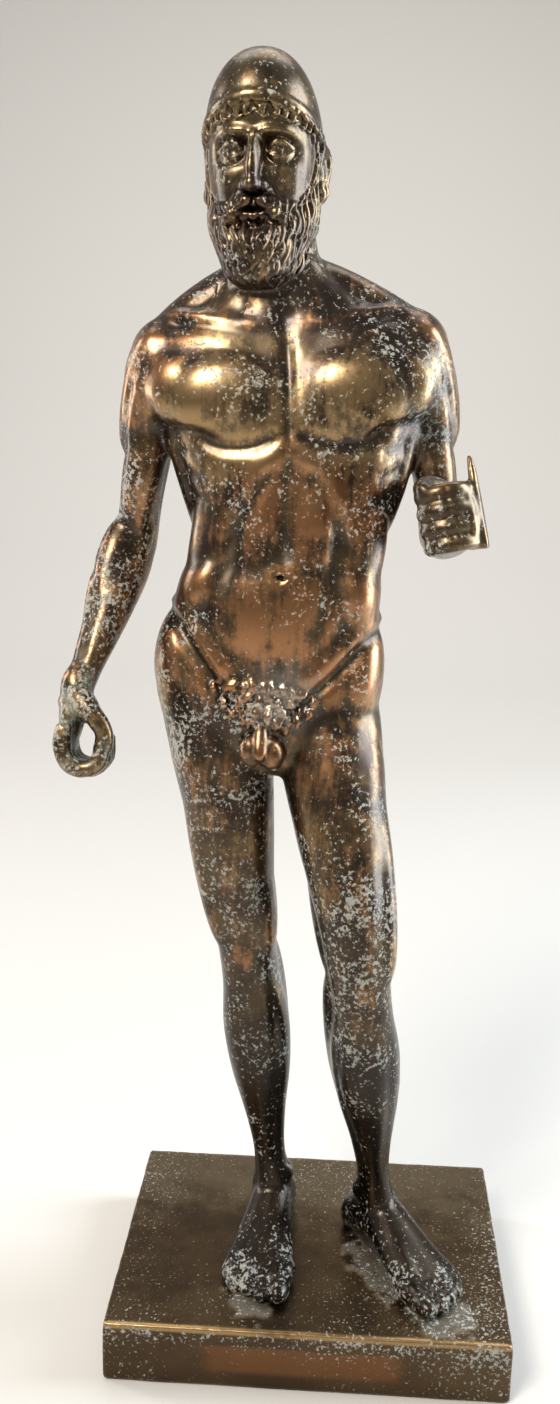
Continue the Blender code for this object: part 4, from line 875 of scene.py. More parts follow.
def beard_locks():
    """Locks in tiers that overlap downward, as (round the head, height) paths."""
    locks = []
    tiers = ((-5.0, 10, 10), (-11.5, 10.5, 12), (-18, 10, 11), (-24, 8.5, 8))
    for tier, (top, length, count) in enumerate(tiers):
        for side in (-1, 1):
            for i in range(count):
                u = side * (1.2 + 2.45 * i + 1.2 * (tier % 2))
                start = top + 0.85 * max(0, abs(u) - 9) * (1 if tier == 0 else 0.55)
                sway = 1.0 * math.sin(1.7 * i + tier * 2.1)
                path = (
                    (u, start + 1.5),
                    (u + side * 0.7 + sway * 0.6, start - length * 0.33),
                    (u - side * 0.8 - sway * 0.5, start - length * 0.7),
                    (u - side * 1.8 + sway, start - length),
                )
                locks.append((path, 1.45, 1.6 - 0.1 * tier))
    for side in (-1, 1):
        for i in range(4):
            path = (
                (side * (0.4 + 1.1 * i), -6.6 - 0.3 * i),
                (side * (4 + 1.5 * i), -7.6 - 0.9 * i),
                (side * (8 + 1.4 * i), -10.5 - 1.3 * i),
                (side * (10.5 + 1.0 * i), -15 - 1.0 * i),
            )
            locks.append((path, 1.25, 1.3))
    return locks


def hair_locks():
    """Small hooked curls along the helmet's rim in front, longer locks down the nape."""
    locks = []
    for i in range(FRINGE_LOCKS):
        angle = -180 + 360 * (i + 0.5) / FRINGE_LOCKS
        u = math.radians(angle) * 19
        edge = rim_height(-math.cos(math.radians(angle)))
        hook = (1 if angle > 0 else -1) * (1 if i % 4 else -1)
        if abs(angle) < 68:
            drop = 3.4 + 0.5 * math.sin(2.3 * i)
            path = (
                (u - hook * 0.6, edge + 0.8),
                (u + hook * 0.9, edge - drop * 0.45),
                (u + hook * 0.7, edge - drop),
                (u - hook * 0.8, edge - drop * 0.9),
            )
            locks.append((path, 1.15, 1.15))
            continue
        path = ((u, edge + 1.5), (u + hook * 0.4, edge - 3.8), (u + hook * 1.8, edge - 9.5))
        locks.append((path, 1.45, 1.1))
        if abs(angle) > 95:
            v = u + 1.3
            path = ((v, edge - 6), (v - hook * 0.7, edge - 11), (v + hook * 1.8, edge - 16))
            locks.append((path, 1.7, 1.2))
    return locks


def carve_hair(obj):
    """Raises the locks of the hair and beard out of the head."""
    mesh = obj.data
    places, normals = rows_of(mesh.vertices, "co") / PART, rows_of(mesh.vertices, "normal")
    local = (places - HEAD_CENTRE) @ np.linalg.inv(turned(*HEAD_TURN))
    near = np.flatnonzero((np.abs(local) < (24, 30, 38)).all(1) & (local[:, 2] > -35))
    x, y, z = local[near].T
    angle = np.arctan2(x, -(y - 1.5))
    flat = np.stack((angle * 18, z), -1)
    turn = np.degrees(np.abs(angle))
    below_rim = rim_height(np.cos(math.pi - angle)) - z
    cheek_line = np.interp(turn, (0, 15, 25, 45, 62, 75, 90, 110), (-5.5, -5.5, -7.5, -7, -2, 8, 8, -10))
    beard_end = np.interp(np.abs(x), (0, 8, 11.5, 14, 15.5, 16.5), (-33, -32, -29.5, -25.5, -20.5, -12))
    bearded = np.clip((cheek_line - z) / 1.5, 0, 1) * np.clip((z - beard_end) / 2, 0, 1) * (turn < 108)
    mouth = np.exp(-((x / 5.2) ** 4) - ((z + 10.2) / 1.7) ** 4)
    bearded *= 1 - mouth
    bearded *= np.clip((-y - np.interp(z, (-32, -24, -10, 0), (8, 4, -4, -9)) + 2) / 3, 0, 1)
    haired = np.clip((below_rim + 0.5) / 1.0, 0, 1) * (below_rim < 18)
    haired *= np.where(turn < 62, below_rim < 6.2, 1) * ((turn > np.where(z > -6, 114, 100)) | (turn < 80))
    haired = np.maximum(haired * (1 - bearded), 0)
    push = bearded * (lock_relief(flat, beard_locks()) - 0.35)
    push = np.maximum(push, haired * (lock_relief(flat, hair_locks()) - 0.1) * (bearded < 0.5))
    places[near] += normals[near] * push[:, None]
    mesh.vertices.foreach_set("co", (places * PART).ravel())
    mesh.update()


def curl_strokes():
    """Rows of short wavy locks above the genitals."""
    for row, (height, reach) in enumerate(((210.5, 7), (207, 6), (203.5, 5), (200, 3))):
        for i in range(-reach, reach + 1):
            x = 2.2 * (i + 0.5 * (row % 2))
            top = height - 0.010 * x * x * (row + 1) + 0.6 * math.sin(2.4 * i + row)
            sway = 0.7 * math.sin(1.9 * i + 2.2 * row)
            lock = ((x, -17, top), (x + sway, -17, top - 1.8), (x - sway * 0.6, -17, top - 3.6))
            stroke(lock, 0.95, 1.5, on_trunk)


def fine_zones(obj):
    """How much each point belongs to a part with small features: head, hands, feet, groin."""
    places = rows_of(obj.data.vertices, "co") / PART
    groin = on_trunk((0, -22, 188))
    spots = (
        (HEAD_CENTRE + (0, 0, 6), 30, 36),
        (WRISTS[-1] + (0, -4, -14), 15, 22),
        (WRISTS[1] + (0, -14, 3), 18, 24),
        (groin, 8.5, 11.5),
    )
    weight = np.zeros(len(places))
    for centre, inner, outer in spots:
        gap = np.linalg.norm(places - centre, axis=1)
        weight = np.maximum(weight, np.clip((outer - gap) / (outer - inner), 0, 1))
    return np.maximum(weight, np.clip((14 - places[:, 2]) / 7, 0, 1))


def refine_head(obj):
    """Splits the faces of the head in four, so it can take finer strokes."""
    made = bmesh.new()
    made.from_mesh(obj.data)
    centre = Vector((HEAD_CENTRE + (0, 0, 2)) * PART)
    near = {v for v in made.verts if (v.co - centre).length < HEAD_REACH * PART and v.co.z > 327 * PART}
    edges = [edge for edge in made.edges if edge.verts[0] in near and edge.verts[1] in near]
    bmesh.ops.subdivide_edges(made, edges=edges, cuts=1, use_grid_fill=True)
    made.to_mesh(obj.data)
    made.free()


def zones(obj):
    """Which points belong to the head, to the hands, feet and groin, and to the rest."""
    places = rows_of(obj.data.vertices, "co") / PART
    head = (np.linalg.norm(places - HEAD_CENTRE - (0, 0, 2), axis=1) < HEAD_REACH) & (places[:, 2] > 328)
    details = (fine_zones(obj) > 0.4) & ~head
    return {"body": ~(head | details), "details": details, "head": head}


def thin_out(obj):
    """Brings the skin down to its triangle budget, zone by zone, with more for small features."""
    apply_modifier(obj, "TRIANGULATE")
    for name, budget in TRIANGLES.items():
        zone = zones(obj)[name]
        weigh(obj, name, zone.astype(float))
        corners = np.empty(len(obj.data.polygons) * 3, dtype=int)
        obj.data.polygons.foreach_get("vertices", corners)
        total = len(obj.data.polygons)
        own = np.count_nonzero(zone[corners.reshape(-1, 3)].all(1))
        kept = (total - own + budget) / total
        apply_modifier(obj, "DECIMATE", ratio=kept, vertex_group=name, vertex_group_factor=1e-7)


def flatten_soles(obj):
    """Cuts the feet off flat where they meet the plinth."""
    made = bmesh.new()
    made.from_mesh(obj.data)
    everything = made.verts[:] + made.edges[:] + made.faces[:]
    bmesh.ops.bisect_plane(
        made, geom=everything, plane_co=(0, 0, 0), plane_no=(0, 0, 1), clear_inner=True, dist=1e-7
    )
    bmesh.ops.holes_fill(made, edges=[edge for edge in made.edges if edge.is_boundary])
    bmesh.ops.triangulate(made, faces=made.faces[:])
    made.to_mesh(obj.data)
    made.free()


def weigh(obj, name, weights):
    group = obj.vertex_groups.new(name=name)
    for step in range(21):
        chosen = np.flatnonzero(np.round(weights * 20) == step)
        group.add(chosen.tolist(), step / 20, "REPLACE")


def apply_modifier(obj, kind, **settings):
    modifier = obj.modifiers.new(kind.title(), kind)
    for name, value in settings.items():
        setattr(modifier, name, value)
    bpy.context.view_layer.objects.active = obj
    bpy.ops.object.modifier_apply(modifier=modifier.name)


def build_figure(collection):
    trunk()
    for side in (-1, 1):
        leg(side)
        arm(side)
        hand(side)
    genitals()
    neck()
    head()
    beard()
    helmet()
    figure = bpy.data.objects.new("figure", pressed_clay("figure"))
    collection.objects.link(figure)
    apply_modifier(figure, "REMESH", mode="VOXEL", voxel_size=SKIN_VOXEL, use_smooth_shade=True)
    weigh(figure, "skin", 1 - fine_zones(figure))
    weigh(figure, "detail", fine_zones(figure))
    apply_modifier(figure, "SMOOTH", factor=0.5, iterations=SKIN_SMOOTHING, vertex_group="skin")
    apply_modifier(figure, "SMOOTH", factor=0.5, iterations=DETAIL_SMOOTHING, vertex_group="detail")
    trunk_strokes()
    for side in (-1, 1):
        limb_strokes(side)
    carve(figure)
    curl_strokes()
    carve(figure)
    refine_head(figure)
    carve_face(figure)
    carve_hair(figure)
    thin_out(figure)
    flatten_soles(figure)
    return figure


def store_hollows(obj):
    """Keeps, at each point, how far it lies under the skin around it, for the patina to read."""
    mesh = obj.data
    ends = np.empty(len(mesh.edges) * 2, dtype=int)
    mesh.edges.foreach_get("vertices", ends)
    start, end = ends.reshape(-1, 2).T
    places, normals = rows_of(mesh.vertices, "co"), rows_of(mesh.vertices, "normal")
    count = len(places)
    neighbours = np.bincount(ends, minlength=count)[:, None]
    for name, rounds in (("hollow", 5), ("shelter", 70)):
        smoothed = places
        for _ in range(rounds):
            total = [
                np.bincount(start, smoothed[end, i], count) + np.bincount(end, smoothed[start, i], count)
                for i in range(3)
            ]
            smoothed = np.stack(total, axis=1) / neighbours
        depth = ((smoothed - places) * normals).sum(1) / PART
        mesh.attributes.new(name, "FLOAT", "POINT").data.foreach_set("value", depth)


def settle(obj, collection):
    """Moves a new object into the statuette's collection and puts its place into its mesh."""
    for old in obj.users_collection:
        old.objects.unlink(obj)
    collection.objects.link(obj)
    bpy.ops.object.select_all(action="DESELECT")
    obj.select_set(True)
    bpy.context.view_layer.objects.active = obj
    bpy.ops.object.transform_apply(location=True, rotation=True, scale=True)


def statuette_collection():
    name = "warrior_statuette"
    if name not in bpy.data.collections:
        bpy.context.scene.collection.children.link(bpy.data.collections.new(name))
    return bpy.data.collections[name]


class Socket:
    """An output of a node that can be added, multiplied and compared like a number."""

    def __init__(self, shading, output):
        self.shading = shading
        self.output = output

    def maths(self, operation, first, second, clamp=False):
        settings = {"operation": operation, "use_clamp": clamp}
        return self.shading.node("ShaderNodeMath", settings, {0: first, 1: second})

    def __add__(self, other):
        return self.maths("ADD", self, other)

    def __sub__(self, other):
        return self.maths("SUBTRACT", self, other)

    def __rsub__(self, other):
        return self.maths("SUBTRACT", other, self)

    def __mul__(self, other):
        return self.maths("MULTIPLY", self, other)

    def __or__(self, other):
        """The greater of two masks, which covers what either covers."""
        return self.maths("MAXIMUM", self, other)

    __radd__ = __add__
    __rmul__ = __mul__

    def clipped(self):
        """The value held between 0 and 1."""
        return self.maths("ADD", self, 0.0, clamp=True)

    def step(self, low, high):
        """Rises smoothly from 0 at low to 1 at high, or falls where high is the lower."""
        settings = {"interpolation_type": "SMOOTHSTEP"}
        if low < high:
            values = {"Value": self, "From Min": low, "From Max": high}
            return self.shading.node("ShaderNodeMapRange", settings, values)
        return 1 - self.step(high, low)


class Shading:
    """A material's nodes, written as expressions."""

    def __init__(self, name):
        self.material = bpy.data.materials.new(name)
        self.material.use_nodes = True
        self.tree = self.material.node_tree
        self.surface = self.tree.nodes["Principled BSDF"]
        self.place = self.node("ShaderNodeTexCoord", {}, {}, "Object")

    def node(self, kind, settings, values, output=0):
        """Adds a node: its settings first, then the values or links of its sockets."""
        made = self.tree.nodes.new(kind)
        for name, value in settings.items():
            setattr(made, name, value)
        for name, value in values.items():
            self.feed(made.inputs[name], value)
        return Socket(self, made.outputs[output])

    def feed(self, socket, value):
        if isinstance(value, Socket):
            self.tree.links.new(value.output, socket)
        elif socket.type == "RGBA":
            socket.default_value = (*value, 1)
        else:
            socket.default_value = value

    def noise(self, scale, detail=3.0, roughness=0.55, place=None):
        values = {"Vector": place or self.place, "Scale": scale, "Detail": detail, "Roughness": roughness}
        return self.node("ShaderNodeTexNoise", {}, values)

    def attribute(self, name):
        return self.node("ShaderNodeAttribute", {"attribute_name": name}, {}, "Fac")

    def stretched(self, scale):
        """The place, drawn together or apart along each axis."""
        settings = {"operation": "MULTIPLY"}
        return self.node("ShaderNodeVectorMath", settings, {0: self.place, 1: scale})

    def near(self, centre, radius):
        """1 at a centre, given in metres, falling to 0 at the radius."""
        values = {0: self.place, 1: centre}
        gap = self.node("ShaderNodeVectorMath", {"operation": "DISTANCE"}, values, "Value")
        return gap.step(radius, radius * 0.15)

    def axes(self):
        """The place as three separate values."""
        split = self.node("ShaderNodeSeparateXYZ", {}, {0: self.place})
        return [Socket(self, split.output.node.outputs[i]) for i in range(3)]

    def mix(self, first, second, share):
        settings = {"data_type": "RGBA", "clamp_factor": True}
        return self.node("ShaderNodeMix", settings, {0: share, 6: first, 7: second}, 2)

    def bump(self, height, depth):
        return self.node("ShaderNodeBump", {}, {"Height": height, "Distance": depth})

    def finish(self, **inputs):
        """Feeds the surface's sockets, named as in Blender but in small letters."""
        for name, value in inputs.items():
            self.feed(self.surface.inputs[name.replace("_", " ").title()], value)
        return self.material


def figure_bronze(finish):
    """Polished bronze under a brown patina, with copper where it is rubbed and pale corrosion."""
    shading = Shading("patinated_bronze")
    hollow, shelter = shading.attribute("hollow"), shading.attribute("shelter")
    clouds = shading.noise(19, detail=4)
    blotches = shading.noise(95, detail=6, roughness=0.62)
    mottle = shading.noise(520, detail=6, roughness=0.72)
    streaks = shading.noise(420, detail=5, roughness=0.6, place=shading.stretched((1.0, 1.0, 0.13)))
    grain = shading.noise(1800, detail=3)
    x, y, z = shading.axes()

    # The metal under the patina: copper on the ribs, belly and hand, yellower on the chest
    chest = (
        shading.near((-0.036, -0.020, 0.318), 0.038)
        | shading.near((0.008, -0.020, 0.316), 0.040)
        | shading.near((-0.024, -0.020, 0.385), 0.030) * 0.5
    )
    coppery = (
        shading.near((-0.010, -0.020, 0.290), 0.042)
        | shading.near((-0.014, -0.025, 0.236), 0.048)
        | shading.near((0.034, -0.055, 0.290), 0.028) * 0.2
        | shading.near((-0.056, -0.005, 0.330), 0.028)
    )
    yellow = (chest * 0.45 + clouds * 1.2 + blotches * 0.9 - coppery * 0.30).step(0.95, 1.35)
    metal = shading.mix(finish.copper, finish.gold, yellow)

    # Brown patina over it, mottled where it wears through and streaked down the belly and thighs
    shins = z.step(0.150, 0.095)
    head = z.step(0.345, 0.365)
    fist = shading.near((0.034, -0.050, 0.286), 0.034)
    handled = chest * 0.04 + coppery * 0.26 + z.step(0.12, 0.24) * 0.14
    handled = handled - shins * 0.14 - head * 0.02 - fist * 0.25
    worn = clouds * 0.6 + blotches + mottle * 0.8 + streaks * 1.1 + handled - hollow * 0.7
    bare = worn.step(1.90, 2.42)
    patina = shading.mix(finish.umber, finish.olive, (clouds + blotches).step(0.85, 1.15))
    colour = shading.mix(patina, metal, bare * 0.9)
    deep = (hollow + shelter * 0.015 + blotches * 0.35 + mottle * 0.25).step(0.42, 1.05)
    # The same dark colour also darkens the lower legs, more toward the feet
    colour = shading.mix(colour, finish.recess, deep * 0.85 | shins * 0.75)

    # Pale specks of corrosion, gathered on the right arm and hip, on the thighs, knees and toes
    gathered = (
        x.step(-0.046, -0.072) * 0.9
        | shading.near((-0.058, 0.0, 0.215), 0.050) * 0.9
        | shading.near((-0.034, -0.010, 0.155), 0.060) * 0.6
        | shading.near((0.026, -0.020, 0.150), 0.060) * 0.8
        | shading.near((0.014, -0.040, 0.125), 0.022)
        | z.step(0.036, 0.026) * 0.8
        | shading.near((0.030, 0.0, 0.330), 0.036) * 0.7
    )
    greyed = shading.near((-0.014, -0.020, 0.228), 0.016) * blotches.step(0.30, 0.50)
    colour = shading.mix(colour, finish.bloom, greyed * 0.45)
    drift = shading.noise(60, detail=3)
    gathering = gathered * 0.070 + drift * 0.34
    crumbs = shading.noise(760, detail=5, roughness=0.62) + gathering
    scabs = shading.noise(300, detail=7, roughness=0.74) + gathering
    bloom = (crumbs.step(0.775, 0.825) | scabs.step(0.800, 0.835)).clipped()
    colour = shading.mix(colour, finish.bloom, bloom * 0.80)

    hand = shading.near((-0.081, -0.022, 0.214), 0.034) * (blotches + hollow).step(0.30, 0.55)
    colour = shading.mix(colour, finish.verdigris, hand * 0.6)

    rough = 0.30 + deep * 0.22 + mottle * 0.10 - bare * 0.05 + bloom * 0.38 + hand * 0.2
    metallic = 1 - bloom * 0.8 - deep * 0.2 - hand * 0.4
    relief = grain * 0.06 + bloom * 0.8 + blotches * 0.4 + mottle * 0.15
    return shading.finish(
        base_color=colour,
        roughness=rough.clipped(),
        metallic=metallic.clipped(),
        coat_weight=(0.35 - bloom * 0.35).clipped(),
        coat_roughness=0.25,
        normal=shading.bump(relief, 0.00012),
    )


def plinth_bronze(finish):
    """Duller bronze, rubbed pale along the front edge and scabbed with grey round the feet. The front edge
    also carries a painted highlight, and a painted reflection of the wall makes the top paler toward the
    back.
    """
    shading = Shading("dull_plinth_bronze")
    x, y, z = shading.axes()
    clouds = shading.noise(24, detail=5)
    blotches = shading.noise(110, detail=6, roughness=0.65)
    grain = shading.noise(1100, detail=3)
    raised = shading.attribute("raised")
    earthy = (clouds * 1.3 + blotches * 0.4).step(0.60, 1.05)
    colour = shading.mix(finish.umber, finish.plinth, earthy * 0.7 + 0.3)
    # Painted reflection of the wall: the top is made paler toward the back, in patches
    pale = (y.step(-0.020, 0.050) * 0.7 + clouds * 1.1 + blotches * 0.6).step(0.95, 1.55)
    colour = shading.mix(colour, finish.painted_wall_reflection, pale * 0.8)

    # Rubbed bare: a long patch in the middle of the front face, and the front's upper edge, which also
    # carries a painted highlight
    front = y.step(-0.0508, -0.0520)
    # The whole front face is made darker than the rest of the plinth
    colour = shading.mix(colour, finish.umber, front * 0.7)
    panel = (x + blotches * 0.01).step(-0.031, -0.026) * (x - blotches * 0.01).step(0.030, 0.023)
    rubbed = front * panel * (z + blotches * 0.003).step(0.0180, 0.0165) * z.step(0.0045, 0.0075)
    colour = shading.mix(colour, finish.rubbed, rubbed * 0.85)
    # The front's upper edge: worn bare metal, with a painted highlight laid along it
    rim = y.step(-0.0496, -0.0506) * z.step(0.0196, 0.0206) * (blotches + clouds).step(0.55, 0.95)
    colour = shading.mix(colour, finish.gold, rim)
    colour = shading.mix(colour, finish.film, raised * (blotches + clouds).step(0.60, 1.05) * 0.9)

    # Pale specks: fine ones below the front's upper edge and at the sides, a few everywhere
    edge = front * z.step(0.0105, 0.0200) * z.step(0.0216, 0.0206)
    sides = x.step(-0.040, -0.058) | x.step(0.046, 0.062)
    gathering = edge * 0.120 + raised * 0.050 + clouds * 0.28 + sides * 0.035
    crumbs = shading.noise(1000, detail=5, roughness=0.62) + gathering
    scabs = shading.noise(330, detail=7, roughness=0.74) + gathering
    bloom = (crumbs.step(0.775, 0.815) | scabs.step(0.815, 0.850)).clipped()
    colour = shading.mix(colour, finish.bloom, bloom * 0.9)
    rough = 0.27 + blotches * 0.16 + bloom * 0.35 + raised * 0.22 - rubbed * 0.04 - rim * 0.05
    metallic = 1 - bloom * 0.75 - raised * 0.35
    relief = grain * 0.12 + bloom * 0.8 + blotches * 0.6
    return shading.finish(
        base_color=colour,
        roughness=rough.clipped(),
        metallic=metallic.clipped(),
        normal=shading.bump(relief, 0.00016),
    )


def floor_paint(finish):
    shading = Shading("pale_floor")
    return shading.finish(base_color=finish.floor, roughness=0.75)


def length_property(name, description, default):
    return bpy.props.FloatProperty(
        name=name, description=description, default=default, min=0, unit="LENGTH", precision=5
    )


class StatuetteSizes(bpy.types.PropertyGroup):
    """Sizes of the statuette."""

    stature: length_property("Stature", "Height of the figure from soles to helmet top", STATURE)
    plinth_width: length_property(
        "Plinth width", "Width of the plinth at its foot", PLINTH_HIGH.x - PLINTH_LOW.x
    )
    plinth_depth: length_property(
        "Plinth depth", "Depth of the plinth at its foot", PLINTH_HIGH.y - PLINTH_LOW.y
    )
    plinth_height: length_property(
        "Plinth height", "Height of the plinth", PLINTH_HIGH.z - PLINTH_LOW.z
    )
    plinth_draft: length_property(
        "Plinth draft", "How far each side of the plinth leans in toward the top", 0.0012
    )
    edge_round: length_property("Edge round", "Radius of the plinth's worn edges", 0.0013)
    patch_height: length_property(
        "Patch height", "How far the cast metal round the feet stands above the plinth", 0.0007
    )
    plinth_grain: length_property(
        "Plinth grain", "Size of the faces that the plinth is divided into", 0.0009
    )


def colour_property(name, description, default):
    return bpy.props.FloatVectorProperty(
        name=name, description=description, default=default, subtype="COLOR", size=3, min=0, max=1
    )


class StatuetteFinish(bpy.types.PropertyGroup):
    """Colours of the bronze, its patina and the studio."""

    gold: colour_property("Gold", "Yellow metal where hands have rubbed it", (0.33, 0.215, 0.10))
    copper: colour_property("Copper", "Reddish metal showing in patches", (0.35, 0.165, 0.070))
    olive: colour_property("Olive", "Thin patina over the metal", (0.095, 0.066, 0.034))
    umber: colour_property("Umber", "Full brown patina", (0.046, 0.030, 0.021))
    recess: colour_property("Recess", "Dark patina left in the creases", (0.014, 0.010, 0.008))
    bloom: colour_property("Bloom", "Pale specks of corrosion", (0.36, 0.36, 0.32))
    verdigris: colour_property("Verdigris", "Grey-green film on the open hand", (0.18, 0.22, 0.18))
    plinth: colour_property("Plinth", "Dull bronze of the plinth", (0.130, 0.086, 0.043))
    # Painted reflection of the wall, laid over the back of the plinth's top
    painted_wall_reflection: colour_property("Painted wall reflection", "Painted reflection of the wall, paler toward the back of the plinth", (0.21, 0.16, 0.10))
    film: colour_property("Film", "Grey film on the rough metal round the feet", (0.145, 0.128, 0.100))
    rubbed: colour_property("Rubbed face", "Brown metal bared on the front face", (0.19, 0.085, 0.035))
    floor: colour_property("Floor", "The studio's floor", (0.57, 0.55, 0.52))


class OBJECT_OT_add_figure(bpy.types.Operator):
    """Press the figure together, carve it, and finish it in bronze"""

    bl_idname = "object.add_statuette_figure"
    bl_label = "Add figure"

    def execute(self, context):
        sizes = context.scene.statuette_sizes
        bpy.ops.object.select_all(action="DESELECT")
        figure = build_figure(statuette_collection())
        figure.name = figure.data.name = "warrior_figure"
        figure.data.transform(Matrix.Scale(sizes.stature / STATURE, 4))
        figure.data.transform(Matrix.Translation((0, 0, SOLE_LEVEL)))
        settle(figure, statuette_collection())
        bpy.ops.object.shade_smooth_by_angle(angle=math.radians(60))
        store_hollows(figure)
        figure.data.materials.append(figure_bronze(context.scene.statuette_finish))
        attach(figure, "root")
        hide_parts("figure")
        return {"FINISHED"}


def cast_patch(place):
    """How much of the rough cast metal round the feet covers a place of the plinth's top."""
    reach = 0
    for heel, toe, wide in FOOT_PATCHES:
        along = toe - heel
        share = min(max((place - heel).dot(along) / along.length_squared, 0), 1)
        gap = (place - heel - along * share).length
        ragged = noise.fractal(place * 160, 0.8, 2.0, 4) * 0.006
        reach = max(reach, min(max((wide + ragged - gap) / 0.0022, 0), 1))
    return reach * reach * (3 - 2 * reach)


class OBJECT_OT_add_plinth(bpy.types.Operator):
    """Cast the plinth, wear its edges, and raise the rough patches round the feet"""

    bl_idname = "object.add_statuette_plinth"
    bl_label = "Add plinth"

    def execute(self, context):
        sizes = context.scene.statuette_sizes
        bpy.ops.object.select_all(action="DESELECT")
        centre = (0, 0, sizes.plinth_height / 2)
        bpy.ops.mesh.primitive_cube_add(size=1, location=centre)
        plinth = context.object
        plinth.name = plinth.data.name = "worn_plinth"
        bpy.ops.object.mode_set(mode="EDIT")
        bpy.ops.transform.resize(value=(sizes.plinth_width, sizes.plinth_depth, sizes.plinth_height))
        bpy.ops.object.mode_set(mode="OBJECT")
        for face in plinth.data.polygons:
            face.select = face.normal.z > 0.5
        bpy.ops.object.mode_set(mode="EDIT")
        lean = 2 * sizes.plinth_draft
        shrink = (1 - lean / sizes.plinth_width, 1 - lean / sizes.plinth_depth, 1)
        bpy.ops.mesh.select_mode(type="FACE")
        bpy.ops.transform.resize(value=shrink)
        bpy.ops.mesh.select_all(action="SELECT")
        bpy.ops.mesh.bevel(offset=sizes.edge_round, segments=4)
        bpy.ops.object.mode_set(mode="OBJECT")
        settle(plinth, statuette_collection())
        apply_modifier(plinth, "REMESH", mode="VOXEL", voxel_size=sizes.plinth_grain)
        self.wear(plinth, sizes)
        bpy.ops.object.shade_smooth()
        plinth.data.materials.append(plinth_bronze(context.scene.statuette_finish))
        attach(plinth, "root")
        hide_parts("plinth")
        return {"FINISHED"}

    def wear(self, plinth, sizes):
        """Moves each point a little in or out, and notes where the cast patches are."""
        half = Vector((sizes.plinth_width / 2, sizes.plinth_depth / 2))
        points, normals = rows_of(plinth.data.vertices, "co"), rows_of(plinth.data.vertices, "normal")
        raised = np.zeros(len(points))
        for i, point in enumerate(points):
            place = Vector(point)
            uneven = noise.fractal(place * 45, 0.8, 2.0, 3) * CAST_SWELL - CAST_SUNK
            uneven -= max(noise.fractal(place * 700, 0.8, 2.0, 2) - 0.45, 0) * PIT_DEPTH
            side = min(half.x - abs(place.x), half.y - abs(place.y))
            edge = math.hypot(max(side - 0.001, 0), sizes.plinth_height - 0.001 - place.z)
            dented = noise.noise(place * 190) * 0.5 + 0.5
            uneven -= max(1 - edge / EDGE_REACH, 0) * dented * EDGE_WEAR
            if place.z > UNDERSIDE:
                point += normals[i] * uneven
            if place.z > sizes.plinth_height * 0.9 and side > EDGE_REACH:
                raised[i] = cast_patch(place)
                lumpy = 0.75 + 0.5 * noise.fractal(place * 260, 0.8, 2.0, 3)
                point[2] += raised[i] * lumpy * sizes.patch_height
        plinth.data.vertices.foreach_set("co", points.ravel())
        plinth.data.attributes.new("raised", "FLOAT", "POINT").data.foreach_set("value", raised)
        plinth.data.update()


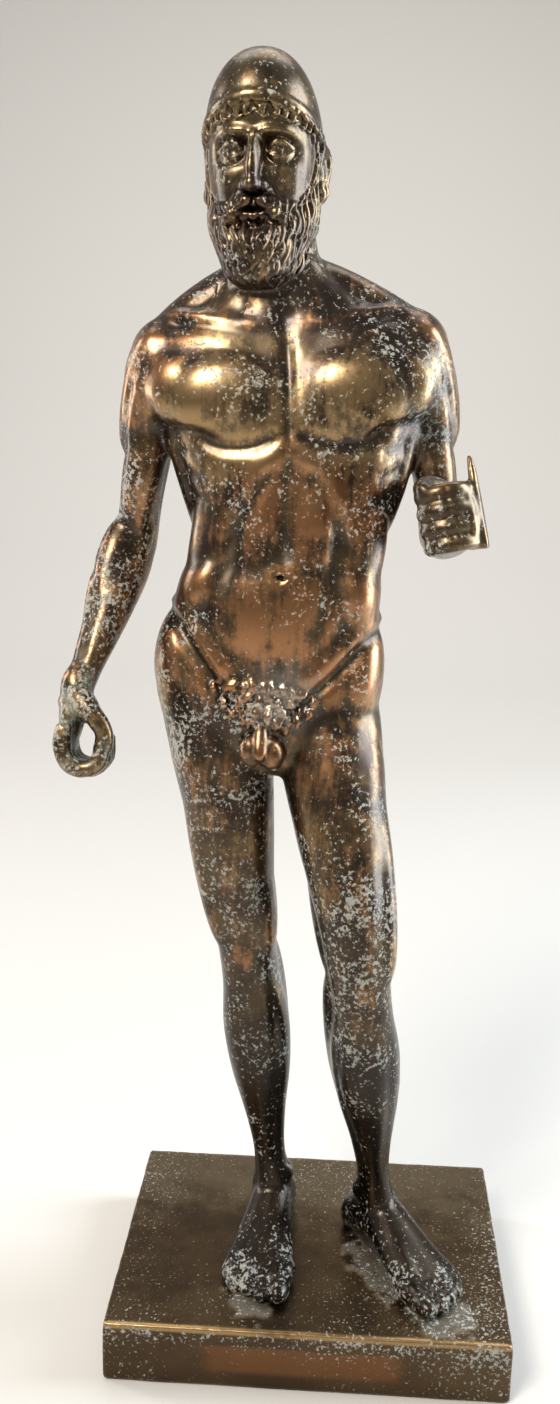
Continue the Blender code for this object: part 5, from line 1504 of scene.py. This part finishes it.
class OBJECT_OT_add_studio(bpy.types.Operator):
    """Set up the floor, the lights and the camera"""

    bl_idname = "object.add_statuette_studio"
    bl_label = "Add studio"

    def execute(self, context):
        bpy.ops.object.select_all(action="DESELECT")
        self.add_floor(context)
        self.add_lights(context)
        self.add_camera(context)
        world = bpy.data.worlds.new("studio_air")
        world.use_nodes = True
        sky = world.node_tree.nodes["Background"]
        sky.inputs["Color"].default_value = WORLD_TINT
        sky.inputs["Strength"].default_value = WORLD_STRENGTH
        context.scene.world = world
        context.scene.view_settings.view_transform = "Standard"
        return {"FINISHED"}

    def add_floor(self, context):
        """A plain floor that curves up far behind the statuette."""
        bpy.ops.mesh.primitive_plane_add(size=8, location=(0, 0, 0))
        floor = context.object
        floor.name = floor.data.name = "studio_floor"
        bpy.ops.object.mode_set(mode="EDIT")
        bpy.ops.mesh.subdivide(number_cuts=31)
        bpy.ops.object.mode_set(mode="OBJECT")
        for vert in floor.data.vertices:
            behind = max(vert.co.y - 0.9, 0)
            vert.co.z = min(behind, 1.0) ** 2 * 0.9 + max(behind - 1.0, 0) * 1.8
        bpy.ops.object.shade_smooth()
        floor.data.materials.append(floor_paint(context.scene.statuette_finish))

    def add_lights(self, context):
        for name, place, target, across, high, watts, tint in STUDIO_LIGHTS:
            bpy.ops.object.light_add(type="AREA")
            light = context.object
            light.name = name
            light.data.shape = "RECTANGLE"
            light.data.size, light.data.size_y = across, high
            light.data.energy = watts
            light.data.color = tint
            aim = (Vector(target) - Vector(place)).to_track_quat("-Z", "Y").to_matrix().to_4x4()
            light.matrix_world = Matrix.Translation(place) @ aim

    def add_camera(self, context):
        """Stands where the photographer stood: a little above the head, looking down."""
        bpy.ops.object.camera_add()
        camera = context.object
        camera.name = "photo_camera"
        camera.data.lens = camera.data.sensor_width * CAMERA["focal_px"] / PHOTO_HEIGHT
        camera.data.dof.use_dof = False
        turn, tilt = math.radians(CAMERA["turn"]), math.radians(CAMERA["tilt"])
        right = Vector((math.cos(turn), math.sin(turn), 0))
        ahead = Vector((-math.sin(turn), math.cos(turn), 0))
        place = right * CAMERA["aside"] - ahead * CAMERA["away"] + Vector((0, 0, CAMERA["height"]))
        look = ahead * math.cos(tilt) - Vector((0, 0, math.sin(tilt)))
        aim = look.to_track_quat("-Z", "Y").to_matrix()
        roll = Matrix.Rotation(math.radians(CAMERA["roll"]), 3, "Z")
        camera.matrix_world = Matrix.Translation(place) @ (aim @ roll).to_4x4()
        context.scene.camera = camera


class VIEW3D_PT_statuette(bpy.types.Panel):
    """Lists the statuette's pieces, sizes and colours."""

    bl_label = "Statuette"
    bl_space_type = "VIEW_3D"
    bl_region_type = "UI"
    bl_category = "Statuette"

    def draw(self, context):
        for operator in OPERATORS:
            self.layout.operator(operator.bl_idname)
        for group in (context.scene.statuette_sizes, context.scene.statuette_finish):
            for name in group.__annotations__:
                self.layout.prop(group, name)


OPERATORS = (OBJECT_OT_add_figure, OBJECT_OT_add_plinth, OBJECT_OT_add_studio)
CLASSES = (StatuetteSizes, StatuetteFinish, *OPERATORS, VIEW3D_PT_statuette)


def register():
    for item in CLASSES:
        bpy.utils.register_class(item)
    bpy.types.Scene.statuette_sizes = bpy.props.PointerProperty(type=StatuetteSizes)
    bpy.types.Scene.statuette_finish = bpy.props.PointerProperty(type=StatuetteFinish)


def unregister():
    del bpy.types.Scene.statuette_finish
    del bpy.types.Scene.statuette_sizes
    for item in reversed(CLASSES):
        bpy.utils.unregister_class(item)


def main():
    register()
    bpy.ops.object.add_statuette_figure()
    bpy.ops.object.add_statuette_plinth()
    bpy.ops.object.add_statuette_studio()


if __name__ == "__main__":
    main()
